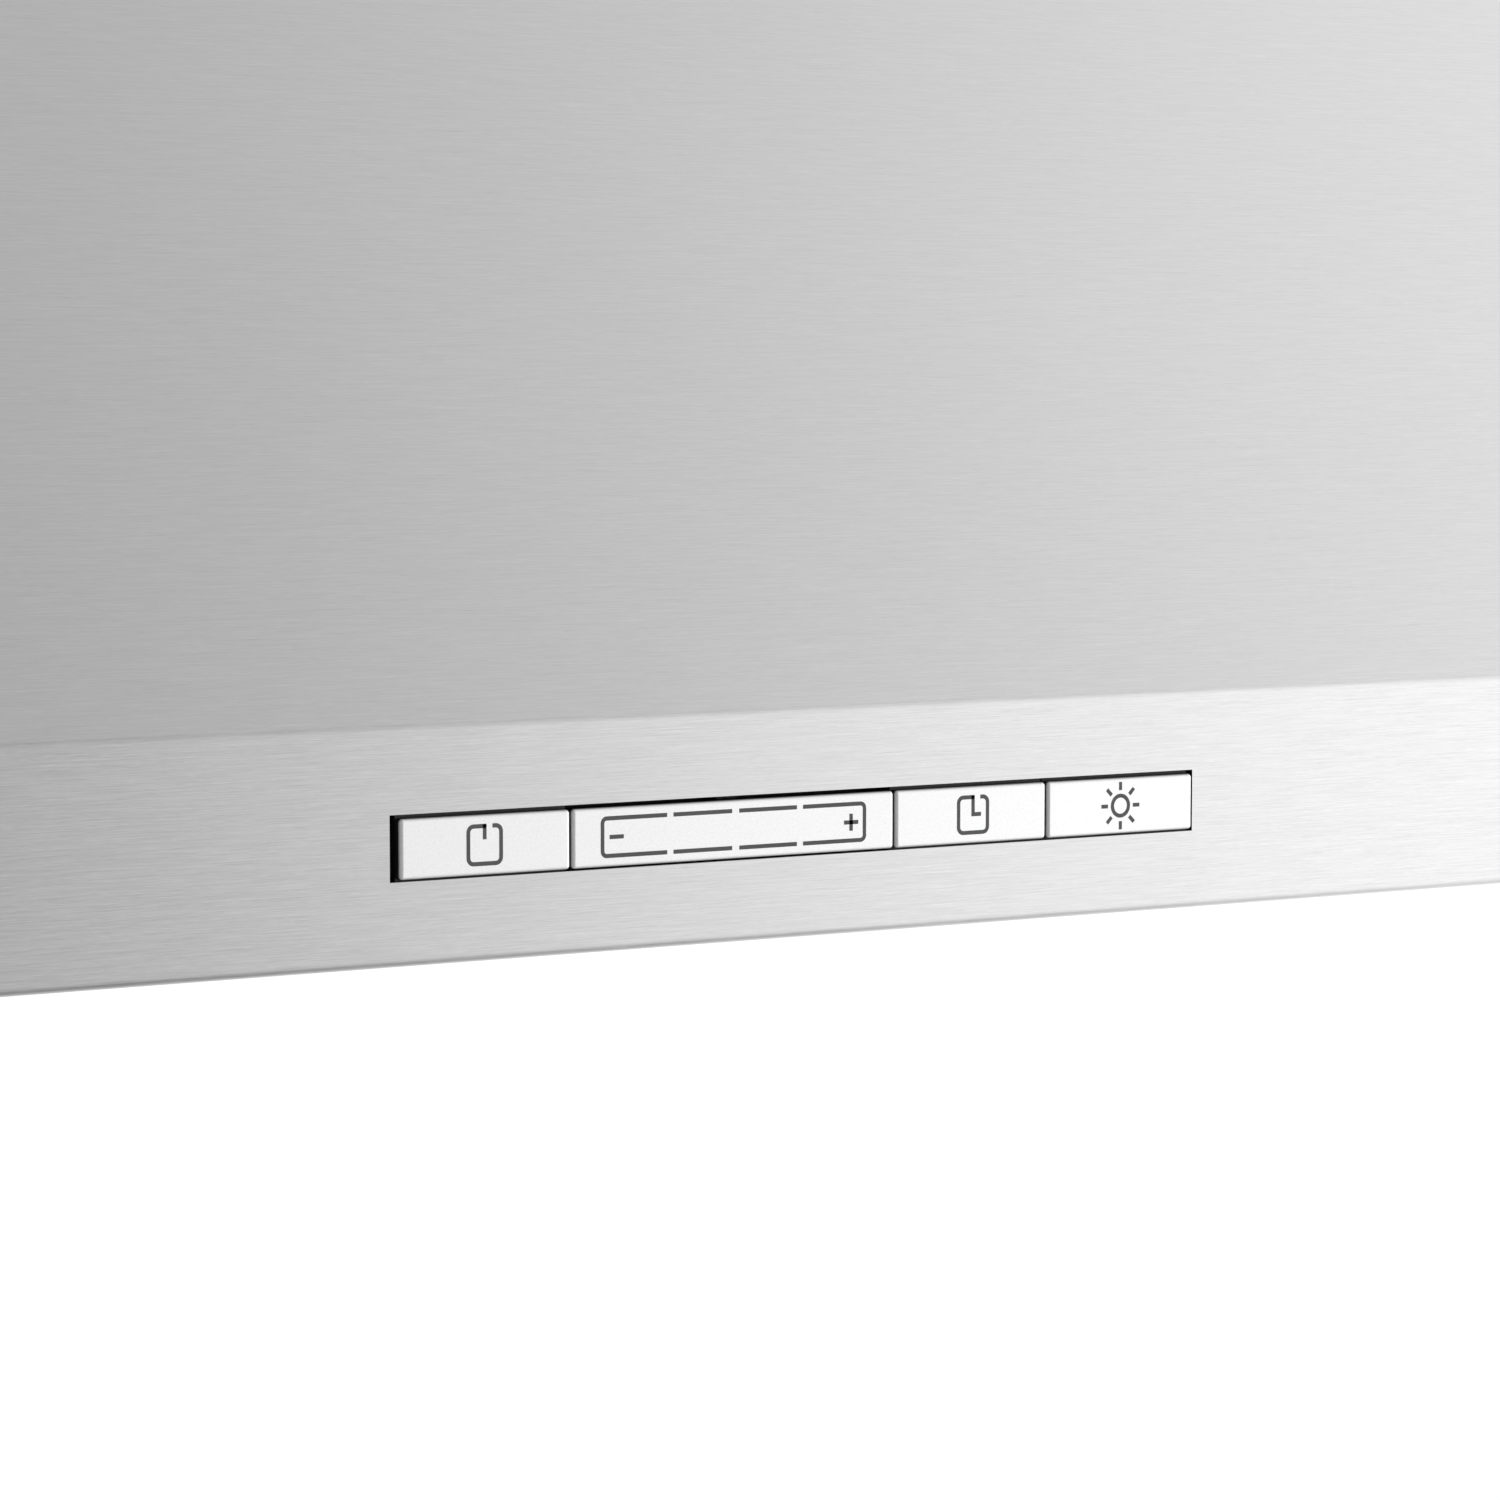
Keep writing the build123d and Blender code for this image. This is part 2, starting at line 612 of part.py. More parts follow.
def damper_flap(side, first):
    """One half of the butterfly damper: a plate on every second knuckle, front (-1) or rear (+1)."""
    bore = FLAP_PIN_D / 2 + KNUCKLE_CLEAR
    outer = bore + KNUCKLE_WALL
    pitch = (2 * DUCT_IN_X - 2 * FLAP_CLEAR) / KNUCKLES
    length = pitch - SEAM
    root = outer + SEAM
    reach = DUCT_IN_Y - FLAP_CLEAR
    knuckles_x = [pitch * (i + 0.5 - KNUCKLES / 2) for i in range(first, KNUCKLES, 2)]
    with BuildPart() as flap:
        with Locations((0, DUCT_CENTRE + side * (root + reach) / 2, FLAP_RISE)):
            Box(2 * DUCT_IN_X - 2 * FLAP_CLEAR, reach - root, FLAP_SHEET)
        with Locations(*[(x, DUCT_CENTRE, FLAP_RISE) for x in knuckles_x]):
            Cylinder(outer, length, rotation=(0, 90, 0))
        with Locations(*[(x, DUCT_CENTRE + side * root / 2, FLAP_RISE) for x in knuckles_x]):
            Box(length, root + SHEET, FLAP_SHEET)
        with Locations(*[(x, DUCT_CENTRE, FLAP_RISE) for x in knuckles_x]):
            Cylinder(bore, length, rotation=(0, 90, 0), mode=Mode.SUBTRACT)
    return flap.part


save(damper_flap(-1, 0), "damper_front_flap")
save(damper_flap(1, 1), "damper_rear_flap")

# ---------------------------------------------------------------- blower

SCREW_X = SCROLL_WIDTH / 2 + SHEET + SCROLL_FLANGE / 2
SCREW_Y = DUCT_IN_Y + SHEET + SCROLL_FLANGE / 2
blower_screw_spots = [
    (side * SCROLL_X + across * SCREW_X, DUCT_CENTRE + along * SCREW_Y)
    for side in (-1, 1)
    for across in (-1, 1)
    for along in (-1, 1)
]

with BuildPart() as outlet_frame:
    with BuildSketch(Plane.XY.offset(FRAME_Z)):
        with Locations(sleeve_centre):
            Rectangle(DUCT_X + 2 * DUCT_FLANGE, DUCT_Y + 2 * DUCT_FLANGE)
            with GridLocations(2 * SCROLL_X, 1, 2, 1):
                Rectangle(SCROLL_WIDTH, 2 * DUCT_IN_Y, mode=Mode.SUBTRACT)
        with Locations(*blower_screw_spots):
            Circle(SCREW_D / 2, mode=Mode.SUBTRACT)
    extrude(amount=FRAME_SHEET)
save(outlet_frame.part, "outlet_frame")


def volute(plane, grow, amount, mode=Mode.ADD):
    """The scroll's outline, widening by SCROLL_GROWTH each quarter turn, grown and extruded."""
    step = SCROLL_GROWTH / 2
    tongue_y = DUCT_CENTRE - DUCT_IN_Y - grow
    tongue_z = AXIS_Z + SCROLL_R - step + grow
    rear_y = DUCT_CENTRE + DUCT_IN_Y + grow
    radius = SCROLL_R + grow
    with BuildSketch(plane, mode=Mode.PRIVATE) as outline:
        with BuildLine():
            Polyline((tongue_y, FRAME_Z), (tongue_y, tongue_z), (AXIS_Y - step, tongue_z))
            CenterArc((AXIS_Y - step, AXIS_Z - step), radius, 90, 90)
            CenterArc((AXIS_Y + step, AXIS_Z - step), radius + SCROLL_GROWTH, 180, 90)
            CenterArc((AXIS_Y + step, AXIS_Z + step), radius + 2 * SCROLL_GROWTH, 270, 90)
            Polyline((rear_y, AXIS_Z + step), (rear_y, FRAME_Z), (tongue_y, FRAME_Z))
        make_face()
    extrude(outline.sketch, amount=amount, mode=mode)


def scroll(side):
    """Left (-1) or right (+1) blower scroll, with its bell inlet in the outer wall."""
    inner_x = SCROLL_X - SCROLL_WIDTH / 2
    with BuildPart() as housing:
        volute(Plane.YZ.offset(inner_x - SHEET), SHEET, SCROLL_WIDTH + 2 * SHEET)
        with Locations((SCROLL_X, DUCT_CENTRE, FRAME_Z)):
            Box(
                SCROLL_WIDTH + 2 * SHEET + 2 * SCROLL_FLANGE,
                2 * (DUCT_IN_Y + SHEET + SCROLL_FLANGE),
                SHEET,
                align=DOWN,
            )
        volute(Plane.YZ.offset(inner_x), 0, SCROLL_WIDTH, mode=Mode.SUBTRACT)
        with Locations((inner_x + SCROLL_WIDTH + SHEET, AXIS_Y, AXIS_Z)):
            Cylinder(INLET_R + SHEET, SHEET + WHEEL_CLEAR / 2, rotation=(0, 90, 0), align=DOWN)
        with Locations((SCROLL_X + SCROLL_WIDTH / 2, AXIS_Y, AXIS_Z)):
            Cylinder(INLET_R, 4 * WHEEL_CLEAR, rotation=(0, 90, 0), mode=Mode.SUBTRACT)
        with Locations((inner_x, AXIS_Y, AXIS_Z)):
            Cylinder(BEARING_D, 4 * SHEET, rotation=(0, 90, 0), mode=Mode.SUBTRACT)
        with Locations(*[(x, y, FRAME_Z) for x, y in blower_screw_spots if x > 0]):
            Cylinder(SCREW_D / 2, 3 * SHEET, mode=Mode.SUBTRACT)
    if side > 0:
        return housing.part
    return mirror(housing.part, about=Plane.YZ)


save(scroll(-1), "left_scroll")
save(scroll(1), "right_scroll")

with BuildPart() as blower_screws:
    with Locations(*[(x, y, FRAME_Z - SHEET) for x, y in blower_screw_spots]):
        Cylinder(SCREW_D / 2, SHEET + FRAME_SHEET, align=UP)
        Cylinder(SCREW_HEAD_D / 2, SCREW_HEAD, align=DOWN)
    with Locations(*[(x, y, FRAME_Z - SHEET - SCREW_HEAD) for x, y in blower_screw_spots]):
        Box(SCREW_HEAD_D, SCREW_SLOT, SCREW_HEAD, mode=Mode.SUBTRACT)
save(blower_screws.part, "blower_screws")

with BuildPart() as motor_shaft:
    with Locations((0, AXIS_Y, AXIS_Z)):
        Cylinder(SHAFT_D / 2, SHAFT_LENGTH, rotation=(0, 90, 0))
    chamfer(motor_shaft.edges().filter_by(GeomType.CIRCLE), SHAFT_CHAMFER)
save(motor_shaft.part, "motor_shaft")


def impeller(side):
    """Left (-1) or right (+1) squirrel cage wheel, with its plate on the motor's side."""
    plate_x = SCROLL_X - WHEEL_WIDTH / 2
    inner_r = WHEEL_R - BLADE_DEPTH
    blade = ThreePointArc(
        (inner_r + BLADE_SHEET, 0),
        (WHEEL_R - BLADE_DEPTH / 2, BLADE_CAMBER),
        (WHEEL_R - BLADE_SHEET, BLADE_LEAN),
    )
    with BuildPart() as wheel:
        with BuildSketch(Plane.YZ.offset(plate_x)):
            with Locations((AXIS_Y, AXIS_Z)):
                Circle(WHEEL_R)
        extrude(amount=SHEET)
        with BuildSketch(Plane.YZ.offset(plate_x)):
            with Locations((AXIS_Y, AXIS_Z)):
                Circle(HUB_D / 2)
        extrude(amount=HUB_LENGTH)
        with BuildSketch(Plane.YZ.offset(plate_x)):
            with Locations((AXIS_Y, AXIS_Z)):
                with PolarLocations(0, BLADES):
                    SlotArc(blade, BLADE_SHEET)
        extrude(amount=WHEEL_WIDTH - SHEET / 2)
        with BuildSketch(Plane.YZ.offset(plate_x + WHEEL_WIDTH - 2 * SHEET)):
            with Locations((AXIS_Y, AXIS_Z)):
                Circle(WHEEL_R)
                Circle(inner_r + BLADE_SHEET, mode=Mode.SUBTRACT)
        extrude(amount=2 * SHEET)
        with BuildSketch(Plane.YZ.offset(plate_x)):
            with Locations((AXIS_Y, AXIS_Z)):
                Circle(SHAFT_D / 2)
        extrude(amount=HUB_LENGTH, mode=Mode.SUBTRACT)
    if side > 0:
        return wheel.part
    return mirror(wheel.part, about=Plane.YZ)


save(impeller(-1), "left_impeller")
save(impeller(1), "right_impeller")

motor_end = MOTOR_LENGTH / 2
axis_spot = (0, AXIS_Y, AXIS_Z)
lying = (0, 90, 0)

with BuildPart() as motor_case:
    with Locations(axis_spot):
        Cylinder(MOTOR_D / 2, MOTOR_LENGTH, rotation=lying)
    with Locations((0, AXIS_Y - MOTOR_D / 2, AXIS_Z)):
        Box(GLAND_WIDTH, 2 * GLAND_REACH, GLAND_WIDTH)
    with Locations((MOTOR_WALL, AXIS_Y, AXIS_Z)):
        Cylinder(MOTOR_D / 2 - MOTOR_WALL, MOTOR_LENGTH, rotation=lying, mode=Mode.SUBTRACT)
    with Locations((motor_end, AXIS_Y, AXIS_Z)):
        Cylinder(MOTOR_D, 2 * MOTOR_CAP, rotation=lying, mode=Mode.SUBTRACT)
    with Locations((-motor_end, AXIS_Y, AXIS_Z)):
        Cylinder(BEARING_D / 2, 4 * MOTOR_WALL, rotation=lying, mode=Mode.SUBTRACT)
save(motor_case.part, "motor_case")

with BuildPart() as motor_cap:
    with Locations((motor_end - MOTOR_CAP / 2, AXIS_Y, AXIS_Z)):
        Cylinder(MOTOR_D / 2, MOTOR_CAP, rotation=lying)
        Cylinder(BEARING_D / 2, MOTOR_CAP, rotation=lying, mode=Mode.SUBTRACT)
save(motor_cap.part, "motor_cap")

for side, name in ((-1, "left"), (1, "right")):
    with BuildPart() as bearing:
        with Locations((side * (motor_end - BEARING_LENGTH / 2 + SHEET), AXIS_Y, AXIS_Z)):
            Cylinder(BEARING_D / 2, BEARING_LENGTH, rotation=lying)
            Cylinder(SHAFT_D / 2 + BEARING_CLEAR, BEARING_LENGTH, rotation=lying, mode=Mode.SUBTRACT)
    save(bearing.part, f"{name}_bearing")

with BuildPart() as stator:
    with Locations(axis_spot):
        Cylinder(MOTOR_D / 2 - MOTOR_WALL, STATOR_LENGTH, rotation=lying)
        Cylinder(ROTOR_R + AIR_GAP, STATOR_LENGTH, rotation=lying, mode=Mode.SUBTRACT)
    with BuildSketch(Plane.YZ.offset(-STATOR_LENGTH / 2)):
        with Locations((AXIS_Y, AXIS_Z)):
            with PolarLocations((ROTOR_R + MOTOR_D / 2) / 2, STATOR_SLOTS):
                SlotOverall(MOTOR_D / 2 - ROTOR_R - 3 * MOTOR_WALL, STATOR_SLOT)
    extrude(amount=STATOR_LENGTH, mode=Mode.SUBTRACT)
save(stator.part, "stator")

with BuildPart() as rotor_core:
    with Locations(axis_spot):
        Cylinder(ROTOR_R, STATOR_LENGTH, rotation=lying)
        Cylinder(SHAFT_D / 2, STATOR_LENGTH, rotation=lying, mode=Mode.SUBTRACT)
save(rotor_core.part, "rotor_core")

web_y = AXIS_Y + WEB_LENGTH / 2 - WEB_FRONT

with BuildPart() as motor_bracket:
    with Locations((0, web_y, FRAME_Z)):
        Box(BRACKET_FOOT, WEB_LENGTH, FRAME_SHEET, align=DOWN)
        Box(
            2 * FRAME_SHEET,
            WEB_LENGTH,
            FRAME_Z - AXIS_Z - MOTOR_D / 2 + WEB_LENGTH / 2,
            align=DOWN,
        )
    with Locations(axis_spot):
        Cylinder(MOTOR_D / 2 + FRAME_SHEET, BAND_WIDTH, rotation=lying)
        Cylinder(MOTOR_D / 2, MOTOR_LENGTH, rotation=lying, mode=Mode.SUBTRACT)
    with Locations((0, AXIS_Y - MOTOR_D / 2, AXIS_Z)):
        Box(GLAND_WIDTH + 2 * SEAM, 4 * GLAND_REACH, GLAND_WIDTH + 2 * SEAM, mode=Mode.SUBTRACT)
save(motor_bracket.part, "motor_bracket")

# ---------------------------------------------------------------- controls

buttons_x = {
    "power_button": -2 * BUTTON_PITCH,
    "speed_rocker": -BUTTON_PITCH / 2,
    "timer_button": BUTTON_PITCH,
    "light_button": 2 * BUTTON_PITCH,
}
rocker_x = buttons_x["speed_rocker"]
stems_x = {name: [x] for name, x in buttons_x.items()}
stems_x["speed_rocker"] = [rocker_x - BUTTON_PITCH / 2, rocker_x + BUTTON_PITCH / 2]
STEM_END = CAP_BACK + STEM_LENGTH


def cap(name):
    """A push cap with softened edges, with a stem for each switch behind it."""
    width = BUTTON_PITCH * len(stems_x[name]) - BUTTON_GAP
    centre_x = buttons_x[name]
    with BuildPart() as button:
        with BuildSketch(front_plane.offset(BUTTON_PROUD)):
            with Locations((centre_x, BUTTON_Z)):
                RectangleRounded(width, BUTTON_HEIGHT, BUTTON_EDGE_R)
        extrude(amount=FRONT - BUTTON_PROUD - CAP_BACK)
        fillet(button.faces().sort_by(Axis.Y)[0].edges(), BUTTON_EDGE_R)
        if name == "speed_rocker":
            with Locations((centre_x, CAP_BACK, BUTTON_Z)):
                Box(
                    2 * PIVOT_D,
                    PIVOT_Y + PIVOT_D / 2 - CAP_BACK,
                    BUTTON_HEIGHT + 2 * CAP_FLANGE_RISE,
                    align=(Align.CENTER, Align.MIN, Align.CENTER),
                )
            with Locations((centre_x, PIVOT_Y, BUTTON_Z)):
                Cylinder(PIVOT_D / 2, POCKET_HEIGHT + 2 * PIVOT_REACH)
        else:
            with Locations((centre_x, CAP_BACK, BUTTON_Z)):
                Box(
                    width,
                    CAP_FLANGE,
                    BUTTON_HEIGHT + 2 * CAP_FLANGE_RISE,
                    align=(Align.CENTER, Align.MAX, Align.CENTER),
                )
        with Locations(*[(x, CAP_BACK, BUTTON_Z) for x in stems_x[name]]):
            Cylinder(STEM_D / 2, STEM_LENGTH, rotation=(-90, 0, 0), align=UP)
    return button.part


for name in buttons_x:
    save(cap(name), name)

switches_x = [x for stems in stems_x.values() for x in stems]
carrier_x = POCKET_LENGTH + 2 * CARRIER_WALL
carrier_z = POCKET_HEIGHT + 2 * CARRIER_WALL

with BuildPart() as button_carrier:
    with BuildSketch(front_plane.offset(-SHEET)):
        with Locations((SLOT_X, BUTTON_Z)):
            Rectangle(carrier_x, carrier_z)
    extrude(amount=-CARRIER_DEPTH)
    with BuildSketch(front_plane.offset(-SHEET)):
        with Locations((SLOT_X, BUTTON_Z)):
            Rectangle(POCKET_LENGTH, POCKET_HEIGHT)
    extrude(amount=CARRIER_WEB - CARRIER_DEPTH, mode=Mode.SUBTRACT)
    with BuildSketch(front_plane.offset(-SHEET)):
        with Locations(*[(x, BUTTON_Z) for x in switches_x]):
            Circle(STEM_HOLE_D / 2)
    extrude(amount=-CARRIER_DEPTH, mode=Mode.SUBTRACT)
    with Locations((rocker_x, PIVOT_Y, BUTTON_Z)):
        Cylinder(PIVOT_D / 2 + PIVOT_CLEAR, carrier_z, mode=Mode.SUBTRACT)
save(button_carrier.part, "button_carrier")

with BuildPart() as keypad_mat:
    with BuildSketch(front_plane.offset(FRONT - CARRIER_BACK)):
        with Locations((SLOT_X, BUTTON_Z)):
            Rectangle(carrier_x, carrier_z)
    extrude(amount=-KEYPAD)
    with BuildSketch(front_plane.offset(FRONT - CARRIER_BACK)):
        with Locations(*[(x, BUTTON_Z) for x in switches_x]):
            Circle(STEM_D / 2)
    extrude(amount=CARRIER_BACK - STEM_END - BUTTON_TRAVEL - DOME_GAP)
save(keypad_mat.part, "keypad_mat")

with BuildPart() as control_board:
    with BuildSketch(front_plane.offset(FRONT - CARRIER_BACK - KEYPAD)):
        with Locations((SLOT_X, BUTTON_Z)):
            Rectangle(carrier_x, carrier_z)
    extrude(amount=-BOARD)
    with Locations((CONTROL_LEAD_X, BOARD_BACK, BUTTON_Z)):
        Box(SOCKET_X, SOCKET_Y, SOCKET_Z, align=(Align.CENTER, Align.MIN, Align.CENTER))
    with Locations((0, BOARD_BACK, BUTTON_Z)):
        with GridLocations(BUTTON_PITCH, 1, 4, 1):
            Box(CHIP, BOARD, CHIP, align=(Align.CENTER, Align.MIN, Align.CENTER))
save(control_board.part, "control_board")

cover_x = carrier_x + 2 * SEAM
cover_z = carrier_z + 2 * SEAM

with BuildPart() as control_cover:
    with BuildSketch(front_plane.offset(-SHEET)):
        with Locations((SLOT_X, BUTTON_Z)):
            Rectangle(cover_x + 2 * COVER_WALL, cover_z + 2 * COVER_WALL)
    extrude(amount=-COVER_DEPTH)
    with BuildSketch(front_plane.offset(-SHEET)):
        with Locations((SLOT_X, BUTTON_Z)):
            Rectangle(cover_x, cover_z)
    extrude(amount=COVER_WALL - COVER_DEPTH, mode=Mode.SUBTRACT)
save(control_cover.part, "control_cover")

# ---------------------------------------------------------------- lamp and motor supply

box_centre = (CABLE_X, -BOX_BACK - BOX_Y / 2)
box_low = -SHEET - BOX_Z

with BuildPart() as junction_box:
    with Locations((*box_centre, -SHEET)):
        Box(BOX_X, BOX_Y, BOX_Z, align=DOWN)
    with Locations((*box_centre, -2 * SHEET)):
        Box(
            BOX_X - 2 * SHEET,
            BOX_Y - 2 * SHEET,
            BOX_Z,
            align=DOWN,
            mode=Mode.SUBTRACT,
        )
    with Locations((CABLE_X, -BOX_BACK, CABLE_Z)):
        Cylinder(KNOCKOUT_D / 2, 4 * SHEET, rotation=(90, 0, 0), mode=Mode.SUBTRACT)
save(junction_box.part, "junction_box")

with BuildPart() as junction_cover:
    with Locations((*box_centre, box_low)):
        Box(BOX_X, BOX_Y, SHEET, align=DOWN)
    fillet(junction_cover.edges().filter_by(Axis.Z), BEND_R)
save(junction_cover.part, "junction_cover")

with BuildPart() as terminal_block:
    with Locations((CABLE_X, box_centre[1] - BOX_Y / 2 + TERMINAL_Y, box_low)):
        with GridLocations(TERMINAL_PITCH, 1, 3, 1):
            Box(TERMINAL_PITCH, TERMINAL_Y, TERMINAL_Z, align=UP)
    with Locations((CABLE_X, box_centre[1] - BOX_Y / 2 + TERMINAL_Y, box_low + TERMINAL_Z)):
        with GridLocations(TERMINAL_PITCH, 1, 3, 1):
            Cylinder(SCREW_D / 2, TERMINAL_Z, mode=Mode.SUBTRACT)
save(terminal_block.part, "terminal_block")

with BuildPart() as cable_clamp:
    with BuildSketch(Plane.XZ):
        with Locations((CABLE_X, CABLE_Z)):
            Circle(KNOCKOUT_D / 2)
    extrude(amount=BOX_BACK + 4 * SHEET)
    with BuildSketch(Plane.XZ.offset(SHEET)):
        with Locations((CABLE_X, CABLE_Z)):
            RegularPolygon(KNOCKOUT_D / 2 + 3 * SHEET, 6, major_radius=False)
    extrude(amount=BOX_BACK - SHEET)
    with BuildSketch(Plane.XZ):
        with Locations((CABLE_X, CABLE_Z)):
            Circle(CABLE_HOLE_D / 2)
    extrude(amount=BOX_BACK + 4 * SHEET, mode=Mode.SUBTRACT)
save(cable_clamp.part, "cable_clamp")

with BuildPart() as led_driver:
    with Locations((DRIVER_X, -DRIVER_BACK, -SHEET)):
        Box(DRIVER_LENGTH, DRIVER_Y, DRIVER_Z, align=DOWN)
    fillet(led_driver.edges().filter_by(Axis.X), BEND_R)
save(led_driver.part, "led_driver")

capacitor_y = -DRIVER_BACK - CAPACITOR_AWAY
capacitor_z = -SHEET - CAPACITOR_D / 2

with BuildPart() as run_capacitor:
    with Locations((DRIVER_X, capacitor_y, capacitor_z)):
        Cylinder(CAPACITOR_D / 2, CAPACITOR_LENGTH, rotation=lying)
    fillet(run_capacitor.edges().filter_by(GeomType.CIRCLE), BEND_R)
save(run_capacitor.part, "run_capacitor")

with BuildPart() as capacitor_clip:
    with Locations((DRIVER_X, capacitor_y, capacitor_z)):
        Cylinder(CAPACITOR_D / 2 + SHEET, CLIP_WIDTH / 2, rotation=lying)
    with Locations((DRIVER_X, capacitor_y, -SHEET)):
        Box(CLIP_WIDTH / 2, CAPACITOR_D + 2 * SHEET, CAPACITOR_D / 2, align=DOWN)
        Box(CLIP_WIDTH / 2, CAPACITOR_D + 2 * FLANGE, SHEET, align=DOWN)
        Box(CLIP_WIDTH, CAPACITOR_D, CAPACITOR_D / 2, align=DOWN, mode=Mode.SUBTRACT)
    with Locations((DRIVER_X, capacitor_y, capacitor_z)):
        Cylinder(CAPACITOR_D / 2, CLIP_WIDTH, rotation=lying, mode=Mode.SUBTRACT)
    with Locations((DRIVER_X, capacitor_y, 0)):
        Box(CLIP_WIDTH, 3 * CAPACITOR_D, 2 * SHEET, mode=Mode.SUBTRACT)
save(capacitor_clip.part, "capacitor_clip")

# ---------------------------------------------------------------- leads

box_front = box_centre[1] - BOX_Y / 2
driver_front = -DRIVER_BACK - DRIVER_Y / 2
driver_end = DRIVER_X - DRIVER_LENGTH / 2
lamp_top = PAN_Z + LAMP_CAN_HEIGHT

control_route = [
    (CONTROL_LEAD_X, FASCIA_BACK + COVER_DEPTH, BUTTON_Z),
    (CONTROL_LEAD_X, -440, BUTTON_Z),
    (-20, -400, -165),
    (-90, -370, -125),
    (-165, -320, -95),
    (-240, -255, -65),
    (-290, -190, -45),
    (-300, -130, -40),
    (-300, box_front, -40),
]
motor_route = [
    (0, AXIS_Y - MOTOR_D / 2 - GLAND_REACH, AXIS_Z),
    (0, -215, AXIS_Z),
    (-50, -250, -98),
    (-120, -250, -78),
    (-190, -220, -54),
    (-235, -170, -38),
    (-250, -125, -30),
    (-250, box_front, -30),
]
right_lamp_route = [
    (DRIVER_X + 35, driver_front, -16),
    (DRIVER_X + 35, -140, -16),
    (290, -200, -30),
    (288, -270, -52),
    (280, -335, -80),
    (262, -395, -112),
    (245, -440, -150),
    (LAMP_X, LAMP_Y, -180),
    (LAMP_X, LAMP_Y, lamp_top),
]
left_lamp_route = [
    (driver_end, -DRIVER_BACK, -16),
    (driver_end - 25, -DRIVER_BACK, -16),
    (155, -125, -22),
    (140, -200, -30),
    (85, -255, -38),
    (15, -300, -50),
    (-55, -335, -68),
    (-120, -370, -94),
    (-180, -410, -124),
    (-225, -448, -160),
    (-LAMP_X, LAMP_Y, -185),
    (-LAMP_X, LAMP_Y, lamp_top),
]

save(tube(control_route, LEAD_D), "control_lead")
save(tube(motor_route, LEAD_D), "motor_lead")
save(tube(right_lamp_route, LAMP_LEAD_D), "right_lamp_lead")
save(tube(left_lamp_route, LAMP_LEAD_D), "left_lamp_lead")
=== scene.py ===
"""Looks for the under cabinet range hood: materials, printed symbols, studio and camera, in metres."""

import json
import math

import bmesh
import bpy
from mathutils import Matrix, Vector


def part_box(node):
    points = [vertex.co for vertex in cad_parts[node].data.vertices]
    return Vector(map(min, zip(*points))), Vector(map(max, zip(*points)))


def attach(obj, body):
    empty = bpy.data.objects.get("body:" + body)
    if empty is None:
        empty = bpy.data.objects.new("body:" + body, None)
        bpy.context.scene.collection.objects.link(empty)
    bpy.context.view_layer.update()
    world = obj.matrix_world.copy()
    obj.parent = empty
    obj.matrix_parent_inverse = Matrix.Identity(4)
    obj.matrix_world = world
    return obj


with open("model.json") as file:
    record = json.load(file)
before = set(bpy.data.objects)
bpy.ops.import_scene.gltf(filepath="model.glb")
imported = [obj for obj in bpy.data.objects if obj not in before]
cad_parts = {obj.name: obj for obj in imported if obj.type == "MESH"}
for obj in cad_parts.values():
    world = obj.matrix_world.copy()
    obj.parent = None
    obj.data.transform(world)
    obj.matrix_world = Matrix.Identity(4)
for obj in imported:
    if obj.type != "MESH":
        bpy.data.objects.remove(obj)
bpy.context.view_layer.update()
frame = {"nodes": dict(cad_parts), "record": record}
nodes = frame["nodes"]
MM = 0.001

# ---------------------------------------------------------------- node helpers


